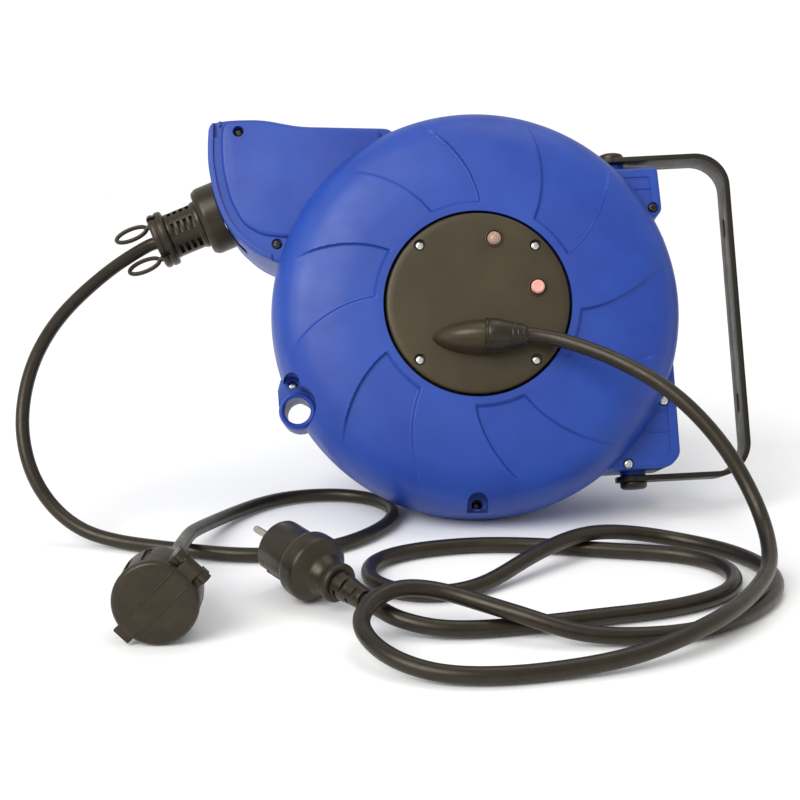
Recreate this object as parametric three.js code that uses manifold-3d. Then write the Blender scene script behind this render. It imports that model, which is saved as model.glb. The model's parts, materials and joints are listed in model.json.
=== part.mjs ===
// Retractable extension cord reel: a round spring-driven drum in a two-shell plastic housing, with a cable
// outlet wing, a swivelling wall bracket, a mains lead with its plug and a cable with its socket.
// Millimetres, +Z up. The reel stands on the floor and leans back on its tapered rear shell.
import * as THREE from "three";
import { mergeVertices } from "three/addons/utils/BufferGeometryUtils.js";
import Module from "manifold-3d";

const wasm = await Module();
wasm.setup();

// ---------------------------------------------------------------- driving dimensions
const GAP = 0.3; // clearance between pieces that touch
const DRUM_R = 153; // housing radius at the parting plane
const FRONT_DEPTH = 63; // parting plane to the drum's front face
const REAR_DEPTH = 77; // parting plane to the drum's rear face
const REAR_R = 125; // radius of the rear face; the taper between is what the reel stands on
const LEAN = Math.atan((DRUM_R - REAR_R) / REAR_DEPTH);
const WALL = 3;
const SHELL_FRONT = -25; // front face of the wing and of the bracket block
const SHELL_REAR = 45; // their rear face
const COVER_R = 66; // slip ring cover
const COVER_FRONT = -65.5;
const AXLE_R = 7.7;
const SPOOL_R = 131;
const SPOOL_HALF = 36; // half the spool's width
const COIL_R = 119; // outside of the wound cable
const BLOCK_TURN = THREE.MathUtils.degToRad(3); // the bracket block is turned a little in the drum's plane
const BRACKET_PIVOT = { u: 114, y: 10 };
const BRACKET_LEG_U = 202; // outer face of the bracket's upright leg
const BRACKET_TOP = 119;
const BRACKET_BOTTOM = -130;
const BRACKET_WIDTH = 28;
const STRAP = 4;
const LEAD_R = 5.25; // mains lead
const CABLE_R = 4.9; // pull-out cable
const OUTLET = { x: -195.5, y: 5, z: 80.4 };
const OUTLET_DOWN = THREE.MathUtils.degToRad(23.3);
const EYE = { x: -132, z: -73, r: 9.7, wall: 14 };
const RESET = { x: 43, z: 11, r: 5 };
const GLAND = { x: 4, y: -78, z: -26, r: 11.5, length: 30 };
const COUPLER = { x: -199, y: -165, z: 26.4, r: 25.5, length: 78.8 };
const PLUG_TAIL = new THREE.Vector3(-77, -211, 15);
const PLUG_FLANGE = new THREE.Vector3(-113, -170, 23.2);
const PIN_SPREAD = 9.5; // half the distance between the plug's pins
// The drum's floor contact, measured from the middle of the footprint of everything but the cords.
const CONTACT = { x: 36.2, y: -61.5 };
// Facets round a full turn, by size of piece.
const LARGE = 36;
const MEDIUM = 18;
const SMALL = 10;

// ---------------------------------------------------------------- materials
const plastic = (color, roughness = 0.5) => new THREE.MeshStandardMaterial({ color, roughness, metalness: 0 });
const metal = (color, roughness = 0.35) => new THREE.MeshStandardMaterial({ color, roughness, metalness: 1 });
const BLUE = 0x2a4bb0;
const BLACK = 0x18181a;

// ---------------------------------------------------------------- shape helpers
function outward(geometry) {
  const position = geometry.attributes.position;
  const index = geometry.index.array;
  const [a, b, c] = [new THREE.Vector3(), new THREE.Vector3(), new THREE.Vector3()];
  let volume = 0;
  for (let i = 0; i < index.length; i += 3) {
    a.fromBufferAttribute(position, index[i]);
    b.fromBufferAttribute(position, index[i + 1]);
    c.fromBufferAttribute(position, index[i + 2]);
    volume += a.dot(b.cross(c));
  }
  if (volume < 0) {
    for (let i = 0; i < index.length; i += 3) [index[i], index[i + 1]] = [index[i + 1], index[i]];
  }
  return geometry;
}

function clean(geometry) {
  const bare = new THREE.BufferGeometry();
  bare.setAttribute("position", geometry.attributes.position.clone());
  if (geometry.index) bare.setIndex(geometry.index.clone());
  const merged = mergeVertices(bare, 1e-4);
  const old = merged.index.array;
  const kept = [];
  for (let i = 0; i < old.length; i += 3) {
    const [a, b, c] = [old[i], old[i + 1], old[i + 2]];
    if (a !== b && b !== c && c !== a) kept.push(a, b, c);
  }
  merged.setIndex(kept);
  return outward(merged);
}

function solid(geometry) {
  const g = clean(geometry);
  const vertProperties = new Float32Array(g.attributes.position.array);
  const triVerts = new Uint32Array(g.index.array);
  return new wasm.Manifold(new wasm.Mesh({ numProp: 3, vertProperties, triVerts }));
}

function geometryOf(manifold) {
  const mesh = manifold.getMesh();
  const g = new THREE.BufferGeometry();
  g.setAttribute("position", new THREE.BufferAttribute(new Float32Array(mesh.vertProperties), 3));
  g.setIndex([...mesh.triVerts]);
  return g;
}

const join = (first, ...rest) => rest.reduce((a, b) => a.add(b), first);
const cut = (first, ...rest) => rest.reduce((a, b) => a.subtract(b), first);

// A profile of [radius, along Y] pairs turned about the Y axis. With closed, its last point meets its first.
function turned(profile, segments = MEDIUM, closed = false) {
  const points = profile.map(([r, y]) => new THREE.Vector2(r, y));
  if (closed) points.push(points[0].clone());
  return clean(new THREE.LatheGeometry(points, segments));
}

function rod(radius, y0, y1, segments = SMALL) {
  return turned([[0, y0], [radius, y0], [radius, y1], [0, y1]], segments);
}

function pipe(inner, outer, y0, y1, segments = 16) {
  return turned([[inner, y0], [outer, y0], [outer, y1], [inner, y1]], segments, true);
}

// An outline in the drum's plane, [x, z] pairs, made solid from y = front to y = back.
function slab(outline, front, back, holes = []) {
  const shape = new THREE.Shape(outline.map(([x, z]) => new THREE.Vector2(x, z)));
  for (const hole of holes) shape.holes.push(new THREE.Path(hole.map(([x, z]) => new THREE.Vector2(x, z))));
  const g = new THREE.ExtrudeGeometry(shape, { depth: back - front, bevelEnabled: false });
  return clean(g.rotateX(Math.PI / 2).translate(0, back, 0));
}

function box(x0, x1, y0, y1, z0, z1) {
  return clean(new THREE.BoxGeometry(x1 - x0, y1 - y0, z1 - z0)
    .translate((x0 + x1) / 2, (y0 + y1) / 2, (z0 + z1) / 2));
}

function ring(cx, cz, radius, count, from = 0, to = 2 * Math.PI) {
  return Array.from({ length: count }, (_, i) => {
    const a = from + ((to - from) * i) / (to - from === 2 * Math.PI ? count : count - 1);
    return [cx + radius * Math.cos(a), cz + radius * Math.sin(a)];
  });
}

// The outline moved inwards by a distance; the outline runs anticlockwise.
function inset(outline, distance) {
  return outline.map(([x, z], i) => {
    const [px, pz] = outline[(i + outline.length - 1) % outline.length];
    const [nx, nz] = outline[(i + 1) % outline.length];
    const before = new THREE.Vector2(-(z - pz), x - px).normalize();
    const after = new THREE.Vector2(-(nz - z), nx - x).normalize();
    const normal = before.clone().add(after);
    const scale = distance / Math.max(0.35, (1 + before.dot(after)) / 2) / 2;
    return [x + normal.x * scale, z + normal.y * scale];
  });
}

function tube(points, radius, steps, sides = 6) {
  const path = new THREE.CatmullRomCurve3(points.map((p) => new THREE.Vector3(...p)), false, "centripetal");
  const shape = new THREE.Shape(
    Array.from({ length: sides }, (_, i) => {
      const a = (2 * Math.PI * i) / sides;
      return new THREE.Vector2(radius * Math.cos(a), radius * Math.sin(a));
    }),
  );
  return clean(new THREE.ExtrudeGeometry(shape, { steps, extrudePath: path, bevelEnabled: false }));
}

// ---------------------------------------------------------------- assembly groups
const reelCentre = new THREE.Vector3(CONTACT.x, CONTACT.y + DRUM_R * Math.sin(LEAN), DRUM_R * Math.cos(LEAN));
const object = new THREE.Group();
const reel = new THREE.Group(); // x right, y back along the drum's axis, z up the drum's face
reel.position.copy(reelCentre);
reel.rotation.x = -LEAN;
const block = new THREE.Group(); // the reel's frame turned about the drum's axis by BLOCK_TURN
block.rotation.y = -BLOCK_TURN;
const floor = new THREE.Group(); // upright frame at the drum's floor contact
floor.position.set(CONTACT.x, CONTACT.y, 0);
object.add(reel, floor);
reel.add(block);

function piece(parent, name, shape, material) {
  const geometry = shape.isBufferGeometry ? shape : geometryOf(shape);
  geometry.computeVertexNormals();
  const mesh = new THREE.Mesh(geometry, material);
  mesh.name = name;
  parent.add(mesh);
  return mesh;
}

// ---------------------------------------------------------------- housing
const wingOutline = [
  [-60, 30], [-60, 141.5], [-132, 143], [-161, 148.5], [-184, 148], [-198, 146],
  [-201, 141], [-201.5, 128], [-201, 114], [-196.5, 90], [-190, 73], [-182, 60], [-165, 45], [-146, 37],
  [-120, 30],
];
const blockOutline = [
  [70, -60], [87, -122], [137, -122], [144.7, -114], [144.7, 50], [137.5, 58], [137.5, 64], [144.7, 70],
  [143.5, 104], [70, 104],
];
const turnOutline = (outline, angle) =>
  outline.map(([u, w]) => [u * Math.cos(angle) - w * Math.sin(angle), u * Math.sin(angle) + w * Math.cos(angle)]);
const blockInDrum = turnOutline(blockOutline, BLOCK_TURN);

const frontProfile = [[68, -63], [102, -62], [126, -57.5], [142, -48], [150, -34], [153, -14]];
const frontInner = [[68, -57.5], [101, -58.6], [124, -54.2], [139, -45.2], [146.8, -33], [149.8, -13.5]];

// Screws that hold the two shells together: [x, z, y of the head's seat, y of the tip].
const shellScrews = [
  [-178, 138, -22.4, 24], [-148, 52, -22.4, 24], [-136, -55, -15.6, 9], [0, -144, -17.6, 9],
  [107, 96, -22.4, 24], [112, -113, -22.4, 24], [134, 80, -22.4, 24], [139, -66, -22.4, 24],
];
const SCREW_HEAD = { r: 3.4, h: 2.2 };
const SCREW_SHANK = 1.7;
const BOSS_R = 5.6;

const at = (geometry, x, y, z) => geometry.translate(x, y, z);

// The slot through which the cable leaves the wing, as a bar across the wing's curved end.
function outletSlot() {
  return solid(new THREE.BoxGeometry(30, 17, 56).rotateY(-OUTLET_DOWN).translate(-190, OUTLET.y, 76));
}

function frontShell() {
  const end = -GAP / 2;
  const drum = solid(turned([[0, -63], ...frontProfile, [DRUM_R, end], [0, end]], LARGE));
  let body = join(drum, solid(slab(wingOutline, SHELL_FRONT, end)), solid(slab(blockInDrum, SHELL_FRONT, end)));
  body = join(body, solid(at(rod(EYE.wall, -20, end), EYE.x, 0, EYE.z)));
  const inside = join(
    solid(turned([[0, -57.5], ...frontInner, [149.8, 1], [0, 1]], LARGE)),
    solid(slab(inset(wingOutline, WALL), SHELL_FRONT + WALL, 1)),
    solid(slab(inset(blockInDrum, WALL), SHELL_FRONT + WALL, 1)),
  );
  const pocketWalls = join(
    solid(at(rod(18.5, -60, end), EYE.x, 0, EYE.z)),
    solid(at(rod(9.5, -60, end), shellScrews[2][0], 0, shellScrews[2][1])),
    solid(box(-10, 10, -60, end, -160, -134)),
  ).intersect(body);
  body = join(cut(body, inside), pocketWalls);
  for (const [x, z, seat] of shellScrews) body = join(body, solid(at(rod(BOSS_R, seat - 1, end), x, 0, z)));
  body = cut(
    body,
    solid(rod(COVER_R - 12, -70, -50, MEDIUM)), // opening behind the slip ring cover
    solid(rod(COVER_R + 1.2, -70, -61, LARGE)), // rebate that the cover sits in
    solid(at(rod(15.5, -70, -18), EYE.x, 0, EYE.z)),
    solid(at(rod(7, -70, -18), shellScrews[2][0], 0, shellScrews[2][1])),
    solid(at(rod(EYE.r, -30, 5), EYE.x, 0, EYE.z)),
    solid(box(-7, 7, -70, -20, -165, -137)),
    outletSlot(),
  );
  for (const [x, z, seat] of shellScrews) {
    body = cut(body, solid(at(rod(4.2, seat - 12, seat), x, 0, z)), solid(at(rod(2.1, seat - 1, 5, 8), x, 0, z)));
  }
  for (const [x, z] of coverScrews()) body = cut(body, solid(at(rod(1.85, -62, -55, 8), x, 0, z)));
  return body;
}

function rearShell() {
  const start = GAP / 2;
  const radiusAt = (y) => DRUM_R - y * Math.tan(LEAN);
  const drum = solid(turned([[0, start], [radiusAt(start), start], [REAR_R, REAR_DEPTH], [0, REAR_DEPTH]], LARGE));
  const outer = join(
    drum,
    solid(slab(wingOutline, start, SHELL_REAR)),
    solid(slab(blockInDrum, start, SHELL_REAR)),
    solid(at(rod(EYE.wall, start, 20), EYE.x, 0, EYE.z)),
    solid(rod(34, REAR_DEPTH - 1, REAR_DEPTH + 4, MEDIUM)),
  );
  const deep = REAR_DEPTH - WALL;
  const inside = join(
    solid(turned([[0, -1], [radiusAt(-1) - 3.2, -1], [radiusAt(deep) - 3.2, deep], [0, deep]], LARGE)),
    solid(slab(inset(wingOutline, WALL), -1, SHELL_REAR - WALL)),
    solid(slab(inset(blockInDrum, WALL), -1, SHELL_REAR - WALL)),
  );
  const eyeWall = solid(at(rod(EYE.wall, start, 74), EYE.x, 0, EYE.z)).intersect(outer);
  let body = join(cut(outer, inside), eyeWall);
  for (const [x, z] of shellScrews) {
    body = join(body, solid(at(rod(BOSS_R, start, SHELL_REAR), x, 0, z)).intersect(outer));
  }
  body = cut(body, solid(at(rod(EYE.r, -5, 90), EYE.x, 0, EYE.z)), outletSlot(),
    solid(rod(AXLE_R + 0.6, 60, 90, MEDIUM)));
  for (const [x, z, , tip] of shellScrews) body = cut(body, solid(at(rod(2.1, -1, tip + 1, 8), x, 0, z)));
  for (const w of [blockTopBoss, blockBottomBoss]) body = join(body, solid(w()));
  return body;
}

// Bosses that carry the bracket's pivot bolts, standing on the block's top and bottom faces.
function pivotBoss(w0, w1) {
  const g = pipe(4.4, 9.7, w0, w1, 16).rotateX(Math.PI / 2).translate(BRACKET_PIVOT.u, BRACKET_PIVOT.y, 0);
  return g.rotateY(-BLOCK_TURN);
}
const blockTopBoss = () => pivotBoss(103.8, BRACKET_TOP - STRAP - GAP);
const blockBottomBoss = () => pivotBoss(BRACKET_BOTTOM + STRAP + GAP, -121.8);

function coverScrews() {
  return [45, 135, 225, 315].map((degrees) => {
    const a = THREE.MathUtils.degToRad(degrees);
    return [59 * Math.cos(a), 59 * Math.sin(a)];
  });
}

function housing() {
  piece(reel, "front_shell", frontShell(), plastic(BLUE));
  piece(reel, "rear_shell", rearShell(), plastic(BLUE));
  shellScrews.forEach(([x, z, seat, tip], i) => {
    const profile = [[0, seat - SCREW_HEAD.h - GAP], [SCREW_HEAD.r, seat - SCREW_HEAD.h - GAP],
      [SCREW_HEAD.r, seat - GAP], [SCREW_SHANK, seat - GAP], [SCREW_SHANK, tip], [0, tip]];
    piece(reel, `shell_screw_${i + 1}`, turned(profile, 8), metal(0xc8cacc)).position.set(x, 0, z);
  });
}

// ---------------------------------------------------------------- slip ring cover and its fittings
function slipRingCover() {
  const disc = turned([[0, COVER_FRONT + 4.2], [COVER_R, COVER_FRONT + 4.2], [COVER_R, COVER_FRONT + 0.8],
    [COVER_R - 0.8, COVER_FRONT], [0, COVER_FRONT]], LARGE);
  const height = COVER_FRONT - (GLAND.y - GLAND.r);
  const bump = new THREE.SphereGeometry(1, 20, 12).scale(37, height, GLAND.r + 0.5);
  let nose = solid(bump.translate(GLAND.x, COVER_FRONT + 0.5, GLAND.z));
  nose = nose.intersect(solid(box(-60, GLAND.x, -120, COVER_FRONT + 0.5, -60, 0)));
  let body = join(solid(disc), nose);
  for (const [x, z] of coverScrews()) {
    body = cut(body, solid(at(rod(1.85, -80, -50, 8), x, 0, z)),
      solid(at(rod(3.6, -80, COVER_FRONT + 1.6), x, 0, z)));
  }
  return cut(
    body,
    solid(at(rod(RESET.r + 0.6, -80, -50, 14), RESET.x, 0, RESET.z)),
    solid(at(rod(5.6, -80, -50, 14), 12, 0, 47)),
  );
}

function coverFittings() {
  piece(reel, "slip_ring_cover", slipRingCover(), plastic(BLACK, 0.45));
  coverScrews().forEach(([x, z], i) => {
    const profile = [[0, COVER_FRONT - 0.4], [3.2, COVER_FRONT - 0.1], [3.2, COVER_FRONT + 1.3],
      [1.4, COVER_FRONT + 1.3], [1.4, -56], [0, -56]];
    piece(reel, `cover_screw_${i + 1}`, turned(profile, 8), metal(0xd0d2d4)).position.set(x, 0, z);
  });
  const lens = turned([[0, -68.2], [2.8, -67.6], [4.6, -66.2], [5.1, -65.4], [5.1, -61], [0, -61]], 14);
  piece(reel, "indicator_lens", lens, plastic(0xd9a98a, 0.1)).position.set(12, 0, 47);
  const button = turned([[0, -69.4], [3.6, -69.2], [4.6, -68.5], [RESET.r, -67.6], [RESET.r, -52], [0, -52]], 14);
  piece(reel, "reset_button", button, plastic(0xd98a80, 0.4)).position.set(RESET.x, 0, RESET.z);
  const breaker = cut(
    solid(box(-9.5, 6, -60.6, -40, -11, 7)),
    solid(rod(RESET.r + 0.6, -70, -46, 14)),
  );
  piece(reel, "breaker_body", breaker, plastic(0x2a2a2c)).position.set(RESET.x, 0, RESET.z);
  // Tapered boot, round the lead where it leaves the cover's bump.
  const boot = turned([[5.9, 0.3], [GLAND.r, 0.3], [GLAND.r + 0.4, 3], [10.6, 7], [9, 16], [7.2, 26],
    [6.5, GLAND.length], [5.9, GLAND.length]], 16, true).rotateZ(-Math.PI / 2);
  piece(reel, "lead_boot", boot, plastic(BLACK, 0.6)).position.set(GLAND.x, GLAND.y, GLAND.z);
}

// ---------------------------------------------------------------- spool, spring and ratchet
const RATCHET = { root: 53, tip: 58, teeth: 16 };
const PAWL = { r: 70, angle: THREE.MathUtils.degToRad(40), y0: 37, y1: 41 };

function spoolParts() {
  piece(reel, "axle", rod(AXLE_R, -46, 92, MEDIUM), metal(0xb8babd));
  const spool = [[8.2, -40], [14, -40], [14, 30], [50, 30], [50, -36], [SPOOL_R, -36], [SPOOL_R, -33], [53, -33],
    [53, 33], [SPOOL_R, 33], [SPOOL_R, SPOOL_HALF], [8.2, SPOOL_HALF]];
  piece(reel, "spool", turned(spool, 32, true), plastic(0x303236));
  const layers = Array.from({ length: 5 }, (_, i) => [COIL_R - (i % 2 ? 0 : 2.5), -32 + (64 * i) / 4]);
  piece(reel, "wound_cable", turned([[53.6, -32], ...layers, [53.6, 32]], 32, true), plastic(BLACK, 0.7));
  [-32, -22, -12].forEach((y, i) => {
    piece(reel, `slip_ring_${i + 1}`, pipe(14.4, 19, y, y + 5, 16), metal(0xc9a24a));
    piece(reel, `brush_${i + 1}`, box(-2, 2, y + 0.6, y + 4.4, -25, -19.5), plastic(0x333333));
  });
  piece(reel, "brush_block", box(-8, 8, -60.6, -6, -45, -25.4), plastic(0x5a3d2a));
  const teeth = Array.from({ length: RATCHET.teeth * 2 }, (_, i) => {
    const a = (2 * Math.PI * Math.floor(i / 2)) / RATCHET.teeth + (i % 2 ? 0.02 : 0);
    const r = i % 2 ? RATCHET.tip : RATCHET.root;
    return [r * Math.cos(a), r * Math.sin(a)];
  });
  piece(reel, "ratchet_wheel", slab(teeth, 36.4, 41.2, [ring(0, 0, 20, 16).reverse()]), metal(0x8a8c90));
  const springCase = [[9, 41.6], [62, 41.6], [62, 68], [60, 68], [60, 44], [9, 44]];
  piece(reel, "spring_case", turned(springCase, 24, true), metal(0x9a9c9f));
  piece(reel, "power_spring", powerSpring(), metal(0x4a5563));
  piece(reel, "axle_nut", axleNut(), metal(0xc0c2c4));
  pawlParts();
}

// Flat spiral spring, wound from the axle out to the spring case.
function powerSpring() {
  const turns = 4;
  const steps = 64;
  const spiral = (offset) =>
    Array.from({ length: steps + 1 }, (_, i) => {
      const a = (2 * Math.PI * turns * i) / steps;
      const r = AXLE_R + 1.2 + (48 * i) / steps + offset;
      return [r * Math.cos(a), r * Math.sin(a)];
    });
  return slab([...spiral(1), ...spiral(0).reverse()], 46, 66);
}

function axleNut() {
  const hexagon = ring(0, 0, 14, 6);
  return slab(hexagon, REAR_DEPTH + 4.3, REAR_DEPTH + 12, [ring(0, 0, AXLE_R + 0.4, MEDIUM).reverse()]);
}

function pawlParts() {
  const centre = [PAWL.r * Math.cos(PAWL.angle), PAWL.r * Math.sin(PAWL.angle)];
  const tipAngle = PAWL.angle - THREE.MathUtils.degToRad(17);
  const tip = [59 * Math.cos(tipAngle), 59 * Math.sin(tipAngle)];
  const along = new THREE.Vector2(tip[0] - centre[0], tip[1] - centre[1]);
  const side = new THREE.Vector2(-along.y, along.x).normalize();
  const corner = (t, s) => [centre[0] + along.x * t + side.x * s, centre[1] + along.y * t + side.y * s];
  const arm = slab([corner(0, -4), corner(0.8, -3.5), corner(1, -1), corner(1, 1), corner(0, 4)].reverse(), PAWL.y0,
    PAWL.y1);
  const pawl = cut(
    join(solid(arm), solid(at(rod(6, PAWL.y0, PAWL.y1), centre[0], 0, centre[1]))),
    solid(at(rod(2.9, 30, 50, 12), centre[0], 0, centre[1])),
  );
  piece(reel, "pawl", pawl, metal(0x77797c));
  piece(reel, "pawl_pin", at(rod(2.5, 36.4, 73.7), centre[0], 0, centre[1]), metal(0xb0b2b5));
}

// ---------------------------------------------------------------- cable outlet
const outDirection = new THREE.Vector3(-Math.cos(OUTLET_DOWN), 0, -Math.sin(OUTLET_DOWN));
const acrossOutlet = new THREE.Vector3(-Math.sin(OUTLET_DOWN), 0, Math.cos(OUTLET_DOWN));
const outlet = new THREE.Group(); // Y runs out of the wing along the cable, X across it in the drum's plane
outlet.position.set(OUTLET.x, OUTLET.y, OUTLET.z);
outlet.quaternion.setFromRotationMatrix(
  new THREE.Matrix4().makeBasis(acrossOutlet, outDirection, acrossOutlet.clone().cross(outDirection)),
);
reel.add(outlet);

function outletParts() {
  const bore = CABLE_R + GAP;
  const buffer = turned([[bore, 1.2], [22, 1.2], [25, 3.5], [25, 12], [23, 14], [bore, 14]], MEDIUM, true);
  piece(outlet, "stop_buffer", buffer, plastic(BLACK, 0.7));
  const body = turned([[bore, 14.3], [15.5, 14.3], [15.5, 25], [14.2, 26], [14.2, 29], [15.5, 30], [15.5, 40],
    [bore, 40]], MEDIUM, true);
  piece(outlet, "stop_body", body, plastic(BLACK, 0.6));
  const collar = turned([[bore, 40.3], [18, 40.3], [19.5, 42], [19.5, 50], [18, 52], [bore, 52]], MEDIUM, true);
  piece(outlet, "stop_collar", collar, plastic(BLACK, 0.6));
  for (const [i, side] of [1, -1].entries()) {
    const loop = new THREE.TorusGeometry(9, 1.7, 6, 14).scale(0.62, 1.55, 1);
    piece(outlet, `stop_loop_${i + 1}`, clean(loop), plastic(BLACK, 0.5)).position.set(side * 13.4, 69.2, 0);
  }
  [1, -1].forEach((side, i) => {
    const x = -176 + acrossOutlet.x * side * 11.6;
    const z = 88.4 + acrossOutlet.z * side * 11.6;
    piece(reel, `guide_roller_${i + 1}`, pipe(2.4, 6, -14, 34), plastic(0xd8d8d4)).position.set(x, 0, z);
    piece(reel, `roller_pin_${i + 1}`, rod(2, -21.7, 41.7, 8), metal(0xb4b6b9)).position.set(x, 0, z);
  });
  const run = [[-186, 5, 84.1], [-165, 5, 93.1], [-135, 5, 103.5], [-100, 5, 108], [-72, 5, 104.6]];
  piece(reel, "cable_inner_run", tube(run, CABLE_R, 14), plastic(BLACK, 0.6));
}

// ---------------------------------------------------------------- wall bracket
function bracketStrap() {
  const inner = BRACKET_LEG_U - STRAP;
  const bend = 26;
  const corner = (cu, cw, radius, from, to) =>
    ring(cu, cw, radius, 6, THREE.MathUtils.degToRad(from), THREE.MathUtils.degToRad(to));
  const [top, bottom] = [BRACKET_TOP, BRACKET_BOTTOM];
  const cu = BRACKET_LEG_U - bend;
  const outside = [[BRACKET_PIVOT.u, bottom], ...corner(cu, bottom + bend, bend, -90, 0),
    ...corner(cu, top - bend, bend, 0, 90), [BRACKET_PIVOT.u, top]];
  const inside = [[BRACKET_PIVOT.u, top - STRAP], ...corner(cu, top - bend, bend - STRAP, 90, 0),
    ...corner(cu, bottom + bend, bend - STRAP, 0, -90), [BRACKET_PIVOT.u, bottom + STRAP]];
  const half = BRACKET_WIDTH / 2;
  const y = BRACKET_PIVOT.y;
  let body = solid(slab([...outside, ...inside], y - half, y + half));
  const end = (w) => solid(pivotRod(half, w, w + STRAP));
  body = join(body, end(top - STRAP), end(bottom));
  body = cut(body, solid(pivotRod(4.5, bottom - 5, top + 5)));
  // Two slotted fixing holes through the upright leg.
  for (const w of [62, -74]) {
    const slot = new THREE.Shape(ring(0, 0, 3.3, 12).map(([a, b]) => new THREE.Vector2(a, b * 2.2)));
    const g = new THREE.ExtrudeGeometry(slot, { depth: 20, bevelEnabled: false }).rotateX(Math.PI / 2);
    body = cut(body, solid(g.rotateZ(Math.PI / 2).translate(inner - 8, y, w)));
  }
  return body;
}

function pivotRod(outer, z0, z1) {
  const g = rod(outer, z0, z1, 16);
  return g.rotateX(Math.PI / 2).translate(BRACKET_PIVOT.u, BRACKET_PIVOT.y, 0);
}

function bracketParts() {
  piece(block, "wall_bracket", bracketStrap(), metal(0x1a1a1c, 0.5));
  const boltTop = turned([[0, 104.5], [3.9, 104.5], [3.9, BRACKET_TOP + GAP], [10, BRACKET_TOP + GAP],
    [10, BRACKET_TOP + 4], [8, BRACKET_TOP + 5.6], [0, BRACKET_TOP + 5.6]], 14);
  const boltBottom = turned([[0, -122.5], [3.9, -122.5], [3.9, BRACKET_BOTTOM - GAP], [10, BRACKET_BOTTOM - GAP],
    [10, BRACKET_BOTTOM - 4], [8, BRACKET_BOTTOM - 5.6], [0, BRACKET_BOTTOM - 5.6]], 14);
  [boltTop, boltBottom].forEach((g, i) => {
    g.rotateX(Math.PI / 2).translate(BRACKET_PIVOT.u, BRACKET_PIVOT.y, 0);
    piece(block, `pivot_bolt_${i + 1}`, g, plastic(BLACK, 0.4));
  });
}

// ---------------------------------------------------------------- plug
function plugParts() {
  const along = PLUG_FLANGE.clone().sub(PLUG_TAIL).normalize();
  const spread = new THREE.Vector3(0.456, 0.539, -0.708);
  spread.addScaledVector(along, -spread.dot(along)).normalize();
  const frame = new THREE.Group();
  frame.position.copy(PLUG_TAIL);
  frame.quaternion.setFromRotationMatrix(new THREE.Matrix4().makeBasis(spread, along, spread.clone().cross(along)));
  floor.add(frame);
  const bore = LEAD_R + GAP;
  const relief = turned([[bore, 0], [7, 0], [8, 12], [9.6, 24], [bore, 24]], 14, true);
  piece(frame, "plug_strain_relief", relief, plastic(BLACK, 0.6));
  let body = solid(turned([[0, 24.3], [12.5, 24.3], [13, 29.5], [11.5, 31], [14, 40], [20, 44.5], [22, 48], [22, 59],
    [20.5, 61], [18.4, 61.5], [18.4, 86], [17.4, 87.5], [0, 87.5]], 24));
  for (const side of [1, -1]) {
    body = cut(body, solid(at(rod(2.6, 80, 90, 12), side * PIN_SPREAD, 0, 0)));
    body = cut(body, solid(box(-4, 4, 64, 92, side > 0 ? 15.2 : -25, side > 0 ? 25 : -15.2)));
  }
  piece(frame, "plug_body", body, plastic(BLACK, 0.6));
  [1, -1].forEach((side, i) => {
    const pin = turned([[0, 80.4], [2.3, 80.4], [2.3, 104.5], [1.4, 106.5], [0, 106.5]], 10);
    piece(frame, `plug_pin_${i + 1}`, pin, metal(0xc8c6be)).position.x = side * PIN_SPREAD;
    const clip = box(-2.6, 2.6, 64.6, 85, 15.6, 16.6).scale(1, 1, side);
    piece(frame, `earth_clip_${i + 1}`, clean(clip), metal(0xc9a860));
  });
}

// ---------------------------------------------------------------- socket with its spring lid
function couplerParts() {
  // The socket's own frame has Y from the cable end to the lid, and X towards the lid's hinge.
  const frame = new THREE.Group();
  frame.position.set(COUPLER.x, COUPLER.y, COUPLER.z);
  const towardsHinge = new THREE.Vector3(Math.SQRT1_2, 0, Math.SQRT1_2);
  const forwards = new THREE.Vector3(0, -1, 0);
  frame.quaternion.setFromRotationMatrix(
    new THREE.Matrix4().makeBasis(towardsHinge, forwards, towardsHinge.clone().cross(forwards)),
  );
  floor.add(frame);
  const bore = CABLE_R + GAP;
  const L = COUPLER.length;
  const shell = turned([[bore, 0], [7.5, 0], [10, 20], [15, 23], [19, 48], [COUPLER.r, 54], [COUPLER.r, L],
    [20, L], [20, 58], [bore, 58]], 28, true);
  const hinge = { x: 31, y: L + 0.5, r: 3.6 };
  const knuckle = (z0, z1, radius = hinge.r) =>
    clean(rod(radius, z0, z1).rotateX(Math.PI / 2).translate(hinge.x, hinge.y, 0));
  let body = solid(shell);
  for (const [z0, z1] of [[-12, -6.3], [6.3, 12]]) {
    body = join(body, solid(knuckle(z0, z1)), solid(box(21, 31, L - 14, L - 0.2, z0, z1)));
  }
  const gapForBarrel = solid(box(26.2, 36, L - 14.2, L + 6, -6, 6));
  body = cut(body, gapForBarrel, solid(knuckle(-20, 20, 1.7)));
  piece(frame, "socket_body", body, plastic(BLACK, 0.65));
  const insert = cut(
    solid(rod(19.6, 58.3, 62, 28)),
    ...[PIN_SPREAD, -PIN_SPREAD].map((z) => solid(at(rod(2.6, 50, 70, 12), 0, 0, z))),
  );
  piece(frame, "socket_insert", insert, plastic(0x232325, 0.5));
  const lidProfile = [[0, L + 0.5], [COUPLER.r + 0.7, L + 0.5], [COUPLER.r + 0.7, L + 3], [COUPLER.r - 1, L + 5],
    [0, L + 5.6]];
  let lid = join(
    solid(turned(lidProfile, 28)),
    solid(knuckle(-5.7, 5.7)),
    solid(box(22, 31, L + 0.5, L + 3.6, -5.7, 5.7)),
    solid(box(-30, -22, L + 0.5, L + 3.4, -6, 6)),
  );
  lid = cut(lid, solid(knuckle(-20, 20, 1.7)));
  piece(frame, "socket_lid", lid, plastic(BLACK, 0.65));
  piece(frame, "lid_hinge_pin", knuckle(-11.8, 11.8, 1.4), metal(0xb0b2b5));
}

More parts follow.
